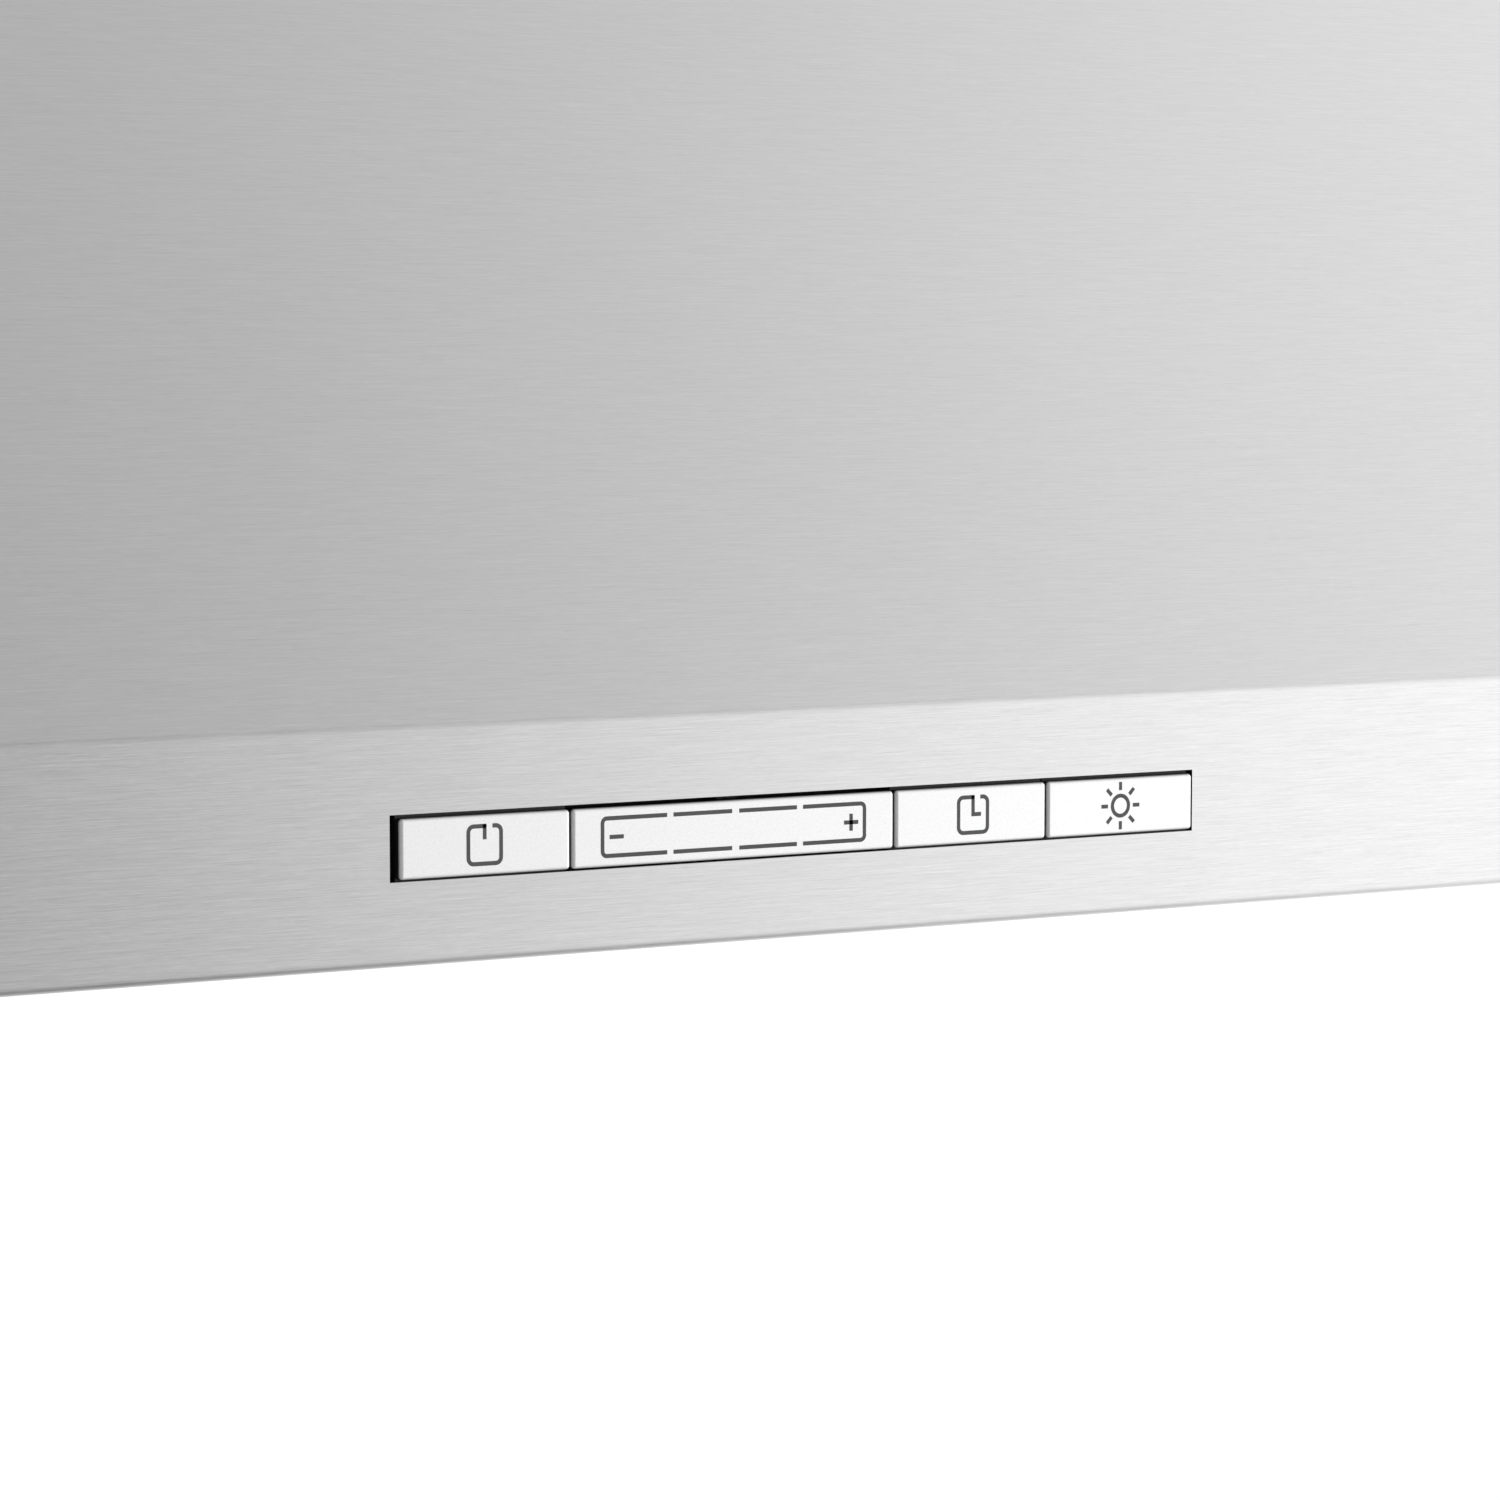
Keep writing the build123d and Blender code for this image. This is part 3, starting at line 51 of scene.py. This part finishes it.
class Shader:
    """A material's node tree, with short calls to add nodes and join them."""

    def __init__(self, name, color, metallic=0.0, roughness=0.5):
        self.material = bpy.data.materials.new(name)
        self.material.use_nodes = True
        self.tree = self.material.node_tree
        self.surface = self.tree.nodes["Principled BSDF"]
        self.set("Base Color", (*color, 1.0))
        self.set("Metallic", metallic)
        self.set("Roughness", roughness)
        self.coords = self.tree.nodes.new("ShaderNodeTexCoord").outputs["Object"]

    def set(self, socket, value):
        self.surface.inputs[socket].default_value = value

    def join(self, output, socket):
        self.tree.links.new(output, self.surface.inputs[socket])

    def add(self, kind, inputs=None, **settings):
        node = self.tree.nodes.new(kind)
        for key, value in settings.items():
            setattr(node, key, value)
        for key, value in (inputs or {}).items():
            if isinstance(value, bpy.types.NodeSocket):
                self.tree.links.new(value, node.inputs[key])
            else:
                node.inputs[key].default_value = value
        return node

    def stretched(self, scale):
        """Object coordinates in metres, scaled by a number along each axis."""
        return self.add("ShaderNodeMapping", {"Vector": self.coords, "Scale": scale}).outputs[0]

    def noise(self, vector, scale=1.0, detail=3.0, roughness=0.5):
        wanted = {"Vector": vector, "Scale": scale, "Detail": detail, "Roughness": roughness}
        return self.add("ShaderNodeTexNoise", wanted).outputs["Fac"]

    def spread(self, value, low, high, start=0.0, end=1.0):
        """value from start..end carried over to low..high."""
        wanted = {"Value": value, "From Min": start, "From Max": end, "To Min": low, "To Max": high}
        return self.add("ShaderNodeMapRange", wanted).outputs[0]

    def math(self, operation, *values):
        return self.add("ShaderNodeMath", dict(enumerate(values)), operation=operation).outputs[0]

    def shade(self, color, factor):
        """The base colour multiplied by a grey factor that varies over the surface."""
        factors = self.add("ShaderNodeCombineColor", {0: factor, 1: factor, 2: factor}).outputs[0]
        mix = self.add("ShaderNodeMix", data_type="RGBA", blend_type="MULTIPLY")
        mix.inputs["Factor"].default_value = 1.0
        if isinstance(color, bpy.types.NodeSocket):
            self.tree.links.new(color, mix.inputs["A"])
        else:
            mix.inputs["A"].default_value = (*color, 1.0)
        self.tree.links.new(factors, mix.inputs["B"])
        self.join(mix.outputs["Result"], "Base Color")

    def bump(self, height, distance, strength=1.0):
        wanted = {"Height": height, "Distance": distance, "Strength": strength}
        self.join(self.add("ShaderNodeBump", wanted).outputs[0], "Normal")


GRAIN_LAYERS = (  # thickness and length of the lines of the brushed grain, and their share
    (0.18 * MM, 13.0 * MM, 0.50),
    (0.10 * MM, 3.0 * MM, 0.40),
    (0.50 * MM, 40.0 * MM, 0.10),
)
BAND_HEIGHT = 48.0 * MM
BAND_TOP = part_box("canopy")[0][2] + BAND_HEIGHT  # the bend above the upright front band
BAND_SOFT = 2.0 * MM  # over which the grain changes at the bend
SLOPE_SHARE = 0.65  # grain contrast above the bend against that of the band
GRAIN_DEPTH = 0.004 * MM
GRAIN_ROUGHNESS = 0.07  # how far the grain swings the roughness either way
ANISOTROPY = 0.75
CLOUD_SCALE = 9.0  # of the faint large cloudiness, per metre


def grain(steel, along):
    """Layers of long thin streaks along one axis, from 0 to 1."""
    total = 0.0
    for line, length, share in GRAIN_LAYERS:
        scale = [1 / line] * 3
        scale["XYZ".index(along)] = 1 / length
        streaks = steel.noise(steel.stretched(scale), detail=2.0, roughness=0.6)
        total = steel.math("MULTIPLY_ADD", streaks, share, total)
    return total


def brushed(name, color, along, roughness=0.33, contrast=0.2, band=False):
    """Brushed steel with a fine grain along one axis; band makes it stronger on the front band."""
    steel = Shader(name, color, metallic=1.0, roughness=roughness)
    streaks = grain(steel, along)
    cloud = steel.noise(steel.coords, scale=CLOUD_SCALE, detail=2.0)
    swing = steel.spread(streaks, -contrast, contrast, 0.25, 0.75)
    if band:
        height = steel.add("ShaderNodeSeparateXYZ", {0: steel.coords}).outputs["Z"]
        share = steel.spread(height, 1.0, SLOPE_SHARE, BAND_TOP - BAND_SOFT, BAND_TOP + BAND_SOFT)
        swing = steel.math("MULTIPLY", swing, share)
    level = steel.spread(cloud, 0.985, 1.015)
    steel.shade(color, steel.math("MULTIPLY_ADD", swing, level, level))
    smooth = roughness - GRAIN_ROUGHNESS
    rough = roughness + GRAIN_ROUGHNESS
    steel.join(steel.spread(streaks, smooth, rough, 0.25, 0.75), "Roughness")
    steel.bump(streaks, GRAIN_DEPTH, 0.5)
    steel.set("Anisotropic", ANISOTROPY)
    direction = [1.0 if axis == along else 0.0 for axis in "XYZ"]
    normal = steel.add("ShaderNodeNewGeometry").outputs["Normal"]
    across = steel.add("ShaderNodeVectorMath", {0: normal, 1: direction}, operation="CROSS_PRODUCT")
    steel.join(across.outputs[0], "Tangent")
    return steel.material


SILVER = (0.96, 0.96, 0.96)
# Black of the caps' moulded plastic, which also serves as painted shade on their sides in the gaps.
CAP_BLACK_AND_GAP_SHADE = (0.012, 0.012, 0.012)
COAT_THINS_AND_SHADE_STARTS = 0.1 * MM  # behind the face, where the silver coat starts to thin out and the painted shade on the cap's sides begins
COAT_GONE_AND_SHADE_FULL = 0.8 * MM  # where only black is left: the black plastic, and painted shade for the gaps round the caps
CAP_METALLIC = 0.8
SPECKLE_SCALE = 3600.0  # of the sand-blasted grain, per metre
SPECKLE_DEPTH = 0.012 * MM


def silver_cap_and_gap_shade():
    """Black moulded cap whose face has a sand-blasted silver coat that fades round the edge; the black on
    the cap's sides is also painted shade for the gaps round the caps.
    """
    cap = Shader("silver_cap_and_gap_shade", SILVER, metallic=CAP_METALLIC, roughness=0.45)
    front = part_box("power_button")[0][1]
    depth = cap.add("ShaderNodeSeparateXYZ", {0: cap.coords}).outputs["Y"]
    # Fade from silver to black behind the face: the bare black plastic, and painted shade on the cap's
    # sides in the gaps.
    bare_and_shaded = cap.spread(depth, 0.0, 1.0, front + COAT_THINS_AND_SHADE_STARTS, front + COAT_GONE_AND_SHADE_FULL)
    speckle = cap.noise(cap.coords, scale=SPECKLE_SCALE, detail=2.0, roughness=0.7)
    tone = cap.spread(speckle, 0.93, 1.07, 0.3, 0.7)
    mix = cap.add("ShaderNodeMix", data_type="RGBA")
    cap.tree.links.new(bare_and_shaded, mix.inputs["Factor"])
    mix.inputs["A"].default_value = (*SILVER, 1.0)
    mix.inputs["B"].default_value = (*CAP_BLACK_AND_GAP_SHADE, 1.0)
    cap.shade(mix.outputs["Result"], tone)
    cap.join(cap.spread(bare_and_shaded, CAP_METALLIC, 0.0), "Metallic")
    cap.join(cap.spread(speckle, 0.40, 0.52, 0.3, 0.7), "Roughness")
    cap.bump(speckle, SPECKLE_DEPTH, 0.4)
    return cap.material


FLAKE = 5.9 * MM  # across one flake of zinc
FEATHER_SCALE = 1500.0  # of the fine feathering, per metre
FEATHER_DEPTH = 0.01 * MM
HAZE_SCALE = 14.0  # of the large cloudiness, per metre


def galvanised():
    """Zinc coated sheet: small crisp flakes of crystal, each with its own tone and fine feathering."""
    color = (0.52, 0.53, 0.54)
    zinc = Shader("galvanised", color, metallic=1.0, roughness=0.42)
    wanted = {"Vector": zinc.coords, "Scale": 1 / FLAKE, "Randomness": 1.0}
    flakes = zinc.add("ShaderNodeTexVoronoi", wanted)
    parts = zinc.add("ShaderNodeSeparateColor", {0: flakes.outputs["Color"]})
    feather = zinc.noise(zinc.coords, scale=FEATHER_SCALE, detail=3.0)
    haze = zinc.noise(zinc.coords, scale=HAZE_SCALE, detail=3.0)
    level = zinc.math("MULTIPLY_ADD", parts.outputs[0], 0.5, zinc.math("MULTIPLY", feather, 0.5))
    flake_tone = zinc.spread(level, 0.91, 1.07, 0.15, 0.85)
    haze_tone = zinc.spread(haze, 0.95, 1.04, 0.3, 0.7)
    zinc.shade(color, zinc.math("MULTIPLY", flake_tone, haze_tone))
    zinc.join(zinc.spread(parts.outputs[1], 0.36, 0.50), "Roughness")
    zinc.bump(feather, FEATHER_DEPTH, 0.3)
    return zinc.material


LEATHER_DEPTH = 0.03 * MM
LEATHER_ROUGHNESS = 0.08  # how far the leathery grain swings the roughness either way
UNEVEN_SCALE = 25.0  # of the uneven tone, per metre


def moulded(name, color, roughness=0.5, grain_scale=900.0, metallic=0.0):
    """Moulded plastic, rubber, paint or ink: a fine leathery grain and a slightly uneven tone."""
    shell = Shader(name, color, metallic=metallic, roughness=roughness)
    grains = shell.noise(shell.coords, scale=grain_scale, detail=3.0, roughness=0.6)
    uneven = shell.noise(shell.coords, scale=UNEVEN_SCALE, detail=2.0)
    shell.shade(color, shell.spread(uneven, 0.93, 1.07, 0.3, 0.7))
    smooth = roughness - LEATHER_ROUGHNESS
    rough = roughness + LEATHER_ROUGHNESS
    shell.join(shell.spread(grains, smooth, rough, 0.3, 0.7), "Roughness")
    shell.bump(grains, LEATHER_DEPTH, 0.6)
    return shell.material


MARKS_SCALE = 1400.0  # of the turning marks, per metre


def bright(name, color, roughness=0.12):
    """Plated or polished metal, with faint turning marks."""
    plated = Shader(name, color, metallic=1.0, roughness=roughness)
    marks = plated.noise(plated.coords, scale=MARKS_SCALE, detail=2.0)
    plated.join(plated.spread(marks, roughness * 0.7, roughness * 1.5, 0.3, 0.7), "Roughness")
    plated.shade(color, plated.spread(marks, 0.96, 1.04, 0.3, 0.7))
    return plated.material


PRISM = 2.2 * MM  # across one prism of the lamps' lens
PRISM_DEPTH = 0.5 * MM
FROST_SCALE = 2600.0  # of the lens's frosting, per metre
ACRYLIC_IOR = 1.49


def frosted():
    """Pale lens of the lamps, moulded all over with small prisms."""
    color = (0.93, 0.93, 0.91)
    lens = Shader("frosted_lens", color, roughness=0.4)
    wanted = {"Vector": lens.coords, "Scale": 1 / PRISM, "Randomness": 0.0}
    prisms = lens.add("ShaderNodeTexVoronoi", wanted, distance="CHEBYCHEV").outputs["Distance"]
    frost = lens.noise(lens.coords, scale=FROST_SCALE, detail=2.0)
    lens.set("Transmission Weight", 0.25)
    lens.set("IOR", ACRYLIC_IOR)
    lens.shade(color, lens.spread(prisms, 1.0, 0.86, 0.2, 0.5))
    lens.join(lens.spread(frost, 0.32, 0.5, 0.3, 0.7), "Roughness")
    lens.bump(prisms, -PRISM_DEPTH, 0.5)
    return lens.material


STEEL = (0.60, 0.60, 0.60)

finishes = {
    "body_steel": brushed("brushed_body", STEEL, "X", contrast=0.25, band=True),
    "side_steel": brushed("brushed_side", STEEL, "Y"),
    "pan_steel": brushed("brushed_pan", STEEL, "X", roughness=0.36),
    "filter_steel": brushed("brushed_filter", (0.56, 0.56, 0.56), "Y", roughness=0.30),
    "liner_steel": galvanised(),
    "spring_steel": bright("plated_steel", (0.66, 0.66, 0.67), 0.22),
    "flap_aluminium": brushed("mill_aluminium", (0.70, 0.70, 0.71), "X", roughness=0.4),
    "bezel_chrome": bright("satin_chrome", (0.72, 0.72, 0.72), 0.16),
    "lamp_lens": frosted(),
    "lamp_can": bright("cast_aluminium", (0.60, 0.60, 0.61), 0.42),
    "wheel_plastic": moulded("wheel_black", (0.03, 0.03, 0.032), 0.45),
    "motor_paint": moulded("motor_black", (0.035, 0.035, 0.04), 0.38, metallic=0.3),
    "iron_core": moulded("laminated_iron", (0.16, 0.155, 0.15), 0.5, metallic=0.8),
    "bearing_bronze": bright("sintered_bronze", (0.55, 0.36, 0.18), 0.4),
    # The caps' sides are painted dark as shade in the gaps round them.
    "button_silver": silver_cap_and_gap_shade(),
    "black_plastic": moulded("black_plastic", (0.02, 0.02, 0.02), 0.5),
    "mat_rubber": moulded("grey_rubber", (0.16, 0.16, 0.17), 0.7),
    "board_green": moulded("board_green", (0.02, 0.14, 0.06), 0.35),
    "clamp_plastic": moulded("clamp_black", (0.03, 0.03, 0.03), 0.5),
    "capacitor_shell": moulded("capacitor_white", (0.78, 0.77, 0.72), 0.4),
    "lead_sheath": moulded("grey_sheath", (0.35, 0.35, 0.36), 0.5),
}

node_finish = {row["node"]: row["material_slot"] for row in frame["record"]["subparts"]}
node_finish["left_end_panel"] = "side_steel"
node_finish["right_end_panel"] = "side_steel"

for name, node in nodes.items():
    node.data.materials.clear()
    node.data.materials.append(finishes[node_finish[name]])

# ---------------------------------------------------------------- printed symbols

INK_DEPTH = 0.02 * MM
LINE = 0.87 * MM  # width of a printed line
ROUND_STEPS = 8

ink = moulded("grey_ink", (0.085, 0.085, 0.085), 0.55, grain_scale=3000.0)


def arc(centre, radius, start, turn, steps=ROUND_STEPS):
    """Points along an arc, in degrees."""
    angles = [math.radians(start + turn * i / steps) for i in range(steps + 1)]
    return [(centre[0] + radius * math.cos(a), centre[1] + radius * math.sin(a)) for a in angles]


def corner_path(*stops, radius):
    """A line through points with its inner corners rounded."""
    path = [stops[0]]
    for before, here, after in zip(stops, stops[1:], stops[2:]):
        here_v = Vector(here)
        to_before = (Vector(before) - here_v).normalized()
        to_after = (Vector(after) - here_v).normalized()
        centre = here_v + (to_before + to_after) * radius
        start = math.atan2(-to_after.y, -to_after.x)
        end = math.atan2(-to_before.y, -to_before.x)
        turn = (end - start + math.pi) % (2 * math.pi) - math.pi
        path += arc(centre, radius, math.degrees(start), math.degrees(turn))
    path.append(stops[-1])
    return path


def ribbon(mesh, path, width, closed=False):
    """Adds a flat printed line of a width along a path to a bmesh, with a little thickness."""
    count = len(path)
    points = [Vector((x, y)) for x, y in path]
    sides = []
    for i, here in enumerate(points):
        before = points[i - 1] if i or closed else here
        after = points[(i + 1) % count] if i < count - 1 or closed else here
        first = (here - before).normalized() if here != before else None
        second = (after - here).normalized() if after != here else None
        first = first or second
        second = second or first
        middle = (first + second).normalized()
        reach = width / 2 / max(middle.dot(first), 0.4)
        normal = Vector((-middle.y, middle.x)) * reach
        sides.append((here + normal, here - normal))
    tops = [[mesh.verts.new((p.x, -INK_DEPTH, p.y)) for p in pair] for pair in sides]
    feet = [[mesh.verts.new((p.x, 0.0, p.y)) for p in pair] for pair in sides]
    last = count if closed else count - 1
    for i in range(last):
        j = (i + 1) % count
        mesh.faces.new((tops[i][0], tops[j][0], tops[j][1], tops[i][1]))
        mesh.faces.new((feet[i][1], feet[j][1], feet[j][0], feet[i][0]))
        mesh.faces.new((tops[i][1], tops[j][1], feet[j][1], feet[i][1]))
        mesh.faces.new((tops[j][0], tops[i][0], feet[i][0], feet[j][0]))
    if not closed:
        mesh.faces.new((tops[0][0], tops[0][1], feet[0][1], feet[0][0]))
        mesh.faces.new((tops[-1][1], tops[-1][0], feet[-1][0], feet[-1][1]))


def symbol(name, body, centre, lines):
    """One printed symbol: a list of (path in millimetres, width, closed) on a cap's face."""
    mesh = bmesh.new()
    for path, width, closed in lines:
        ribbon(mesh, [(x * MM, y * MM) for x, y in path], width, closed)
    bmesh.ops.recalc_face_normals(mesh, faces=mesh.faces)
    data = bpy.data.meshes.new(name)
    mesh.to_mesh(data)
    mesh.free()
    data.materials.append(ink)
    piece = bpy.data.objects.new(name, data)
    bpy.context.scene.collection.objects.link(piece)
    data.transform(Matrix.Translation(centre))
    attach(piece, body)
    return piece


def face_centre(cap):
    """Middle of a cap's front face."""
    low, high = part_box(cap)
    carrier_low, carrier_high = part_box("button_carrier")
    return Vector(((low[0] + high[0]) / 2, low[1], (carrier_low[2] + carrier_high[2]) / 2))


# The symbols' own sizes are in millimetres about the middle of their cap.
BOX = 3.8  # half the side of the square symbols, at the middle of the line
BOX_R = 1.2
GAP_START = 0.375  # the square's top line stops here, just past its hand
POWER_GAP_END = 1.8
POWER_HAND = 2.7  # how far the hand hangs down
TIMER_GAP_END = 1.9
TIMER_HAND = 3.7
TIMER_FOOT = 2.1  # length of the lower part of the clock hand


def open_square(gap_end, hand):
    """A rounded square, open in its top line, with a hand that hangs from the open end."""
    square = corner_path(
        (gap_end, BOX), (BOX, BOX), (BOX, -BOX), (-BOX, -BOX), (-BOX, BOX), (GAP_START, BOX), radius=BOX_R
    )
    return [(square, LINE, False), (hand, LINE, False)]


def power_lines():
    hand = [(0.0, BOX + GAP_START), (0.0, BOX - POWER_HAND)]
    return open_square(POWER_GAP_END, hand)


def timer_lines():
    elbow = BOX - TIMER_HAND
    hand = [(0.0, BOX + GAP_START), (0.0, elbow), (TIMER_FOOT, elbow)]
    return open_square(TIMER_GAP_END, hand)


SUN_R = 2.2
RAY = 0.85 * MM  # width of one ray
RAYS = 8
RAY_START = 3.4
RAY_END = 5.2


def sun_lines():
    lines = [(arc((0, 0), SUN_R, 0, 360, 32)[:-1], LINE, True)]
    for i in range(RAYS):
        angle = 2 * math.pi * i / RAYS
        direction = Vector((math.cos(angle), math.sin(angle)))
        lines.append(([tuple(direction * RAY_START), tuple(direction * RAY_END)], RAY, False))
    return lines


BRACKET_X = 32.4  # half the bracket's length
BRACKET_Z = 3.85
BRACKET_R = 1.0
BRACKET_END = 15.6  # length of the end pieces along the rocker
DASH = 14.4
DASH_GAP = 1.75
SIGN_IN = 3.4  # from the bracket's ends to the middle of the signs
MINUS = 1.7  # half the length of the minus
PLUS = 1.8  # half the length of the plus


def rocker_lines():
    inner = BRACKET_X - BRACKET_END
    lines = []
    for side in (-1, 1):
        end = corner_path(
            (side * inner, BRACKET_Z),
            (side * BRACKET_X, BRACKET_Z),
            (side * BRACKET_X, -BRACKET_Z),
            (side * inner, -BRACKET_Z),
            radius=BRACKET_R,
        )
        lines.append((end, LINE, False))
        for level in (-1, 1):
            near = side * DASH_GAP / 2
            far = side * (DASH_GAP / 2 + DASH)
            lines.append(([(near, level * BRACKET_Z), (far, level * BRACKET_Z)], LINE, False))
    sign = BRACKET_X - SIGN_IN
    lines.append(([(-sign - MINUS, 0), (-sign + MINUS, 0)], LINE, False))
    lines.append(([(sign - PLUS, 0), (sign + PLUS, 0)], LINE, False))
    lines.append(([(sign, -PLUS), (sign, PLUS)], LINE, False))
    return lines


for name, cap, shift, lines in (  # each symbol is printed this far, in millimetres, off its cap's middle
    ("power_symbol", "power_button", -0.35, power_lines()),
    ("speed_symbol", "speed_rocker", -0.2, rocker_lines()),
    ("timer_symbol", "timer_button", 0.4, timer_lines()),
    ("light_symbol", "light_button", 0.0, sun_lines()),
):
    symbol(name, cap, face_centre(cap) + Vector((shift * MM, 0.0, 0.0)), lines)

# ---------------------------------------------------------------- studio

FLOOR_DROP = 4.5  # from the hood's rim to the floor
FLOOR_SIZE = 240.0
FLOOR_GLOW = 0.34  # lifts the floor to white

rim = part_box("canopy")[0]  # the canopy's left, front, lower corner
floor_mesh = bpy.data.meshes.new("floor")
half = FLOOR_SIZE / 2
floor_z = rim[2] - FLOOR_DROP
floor_mesh.from_pydata(
    [(-half, -half, floor_z), (half, -half, floor_z), (half, half, floor_z), (-half, half, floor_z)],
    [],
    [(0, 1, 2, 3)],
)
floor = bpy.data.objects.new("floor", floor_mesh)
bpy.context.scene.collection.objects.link(floor)
pale = Shader("pale_floor", (0.93, 0.93, 0.93), roughness=0.9)
pale.set("Specular IOR Level", 0.0)
pale.set("Emission Color", (1.0, 1.0, 1.0, 1.0))
pale.set("Emission Strength", FLOOR_GLOW)
floor_mesh.materials.append(pale.material)
floor.visible_glossy = False


def ramp(tree, value, stops):
    """A colour ramp through (place, grey) stops."""
    node = tree.nodes.new("ShaderNodeValToRGB")
    node.color_ramp.interpolation = "B_SPLINE"
    points = node.color_ramp.elements
    while len(points) < len(stops):
        points.new(0.5)
    for point, (place, grey) in zip(points, stops):
        point.position = place
        point.color = (grey, grey, grey, 1.0)
    tree.links.new(value, node.inputs[0])
    return node.outputs[0]


def unit(tree, value):
    """A direction's component, carried from -1..1 to 0..1."""
    node = tree.nodes.new("ShaderNodeMapRange")
    node.inputs["From Min"].default_value = -1.0
    tree.links.new(value, node.inputs["Value"])
    return node.outputs[0]


# The dome's greys against direction, each along one axis from 0 (left, down, front) to 1.
LOW_STOPS = ((0.0, 0.11), (0.45, 0.10), (0.66, 0.157), (0.73, 0.345), (0.80, 0.77), (1.0, 1.0))
HIGH_STOPS = ((0.0, 0.13), (0.45, 0.12), (0.66, 0.152), (0.74, 0.232), (0.86, 0.432), (1.0, 0.54))
WALL_STOPS = ((0.0, 0.41), (0.70, 0.42), (0.77, 0.50), (0.83, 0.61), (1.0, 0.64))
# Shares along an axis: of the high greys, of all that isn't the dark dip below, and of the wall.
RISE_STOPS = ((0.0, 0.0), (0.55, 0.0), (0.9, 1.0), (1.0, 1.0))
DIP_STOPS = ((0.0, 0.0), (0.06, 0.0), (0.2, 1.0), (1.0, 1.0))
BACK_STOPS = ((0.0, 0.0), (0.53, 0.0), (0.68, 1.0), (1.0, 1.0))
DIP_LEVEL = 0.06
SKY_POWER = 2.5


def blend(tree, factor, first, second):
    """A colour that goes from the first to the second."""
    node = tree.nodes.new("ShaderNodeMix")
    node.data_type = "RGBA"
    tree.links.new(factor, node.inputs["Factor"])
    tree.links.new(first, node.inputs["A"])
    tree.links.new(second, node.inputs["B"])
    return node.outputs["Result"]


def sky():
    """A soft studio dome: a wide light low on the right, dark below, and a pale wall behind."""
    world = bpy.data.worlds.new("studio")
    world.use_nodes = True
    bpy.context.scene.world = world
    tree = world.node_tree
    coords = tree.nodes.new("ShaderNodeTexCoord").outputs["Generated"]
    split = tree.nodes.new("ShaderNodeSeparateXYZ")
    tree.links.new(coords, split.inputs[0])
    to_right = unit(tree, split.outputs["X"])
    to_top = unit(tree, split.outputs["Z"])
    to_back = unit(tree, split.outputs["Y"])
    low_part = ramp(tree, to_right, LOW_STOPS)
    high_part = ramp(tree, to_right, HIGH_STOPS)
    dome = blend(tree, ramp(tree, to_top, RISE_STOPS), low_part, high_part)
    dip = tree.nodes.new("ShaderNodeRGB").outputs[0]
    dip.default_value = (DIP_LEVEL, DIP_LEVEL, DIP_LEVEL, 1.0)
    dome = blend(tree, ramp(tree, to_top, DIP_STOPS), dip, dome)
    wall = ramp(tree, to_right, WALL_STOPS)
    whole = blend(tree, ramp(tree, to_back, BACK_STOPS), dome, wall)
    background = tree.nodes["Background"]
    tree.links.new(whole, background.inputs["Color"])
    background.inputs["Strength"].default_value = SKY_POWER


sky()

# ---------------------------------------------------------------- camera

YAW = math.radians(33.31)
PITCH = math.radians(4.485)
LENS = 121.4
STRIP_X = 0.45 * MM  # across from the hood's middle to the point that the camera is placed from
CAMERA_FROM_RIM = Vector((-0.5913, -0.8748, 0.1221))  # from the band's lower edge at that point

camera = bpy.data.cameras.new("camera")
camera.lens = LENS
camera.sensor_width = 36.0
camera.clip_end = 500.0
view = bpy.data.objects.new("camera", camera)
view.location = Vector((STRIP_X, rim[1], rim[2])) + CAMERA_FROM_RIM
view.rotation_euler = (math.pi / 2 - PITCH, 0.0, -YAW)
bpy.context.scene.collection.objects.link(view)
bpy.context.scene.camera = view
bpy.context.scene.view_settings.view_transform = "Standard"
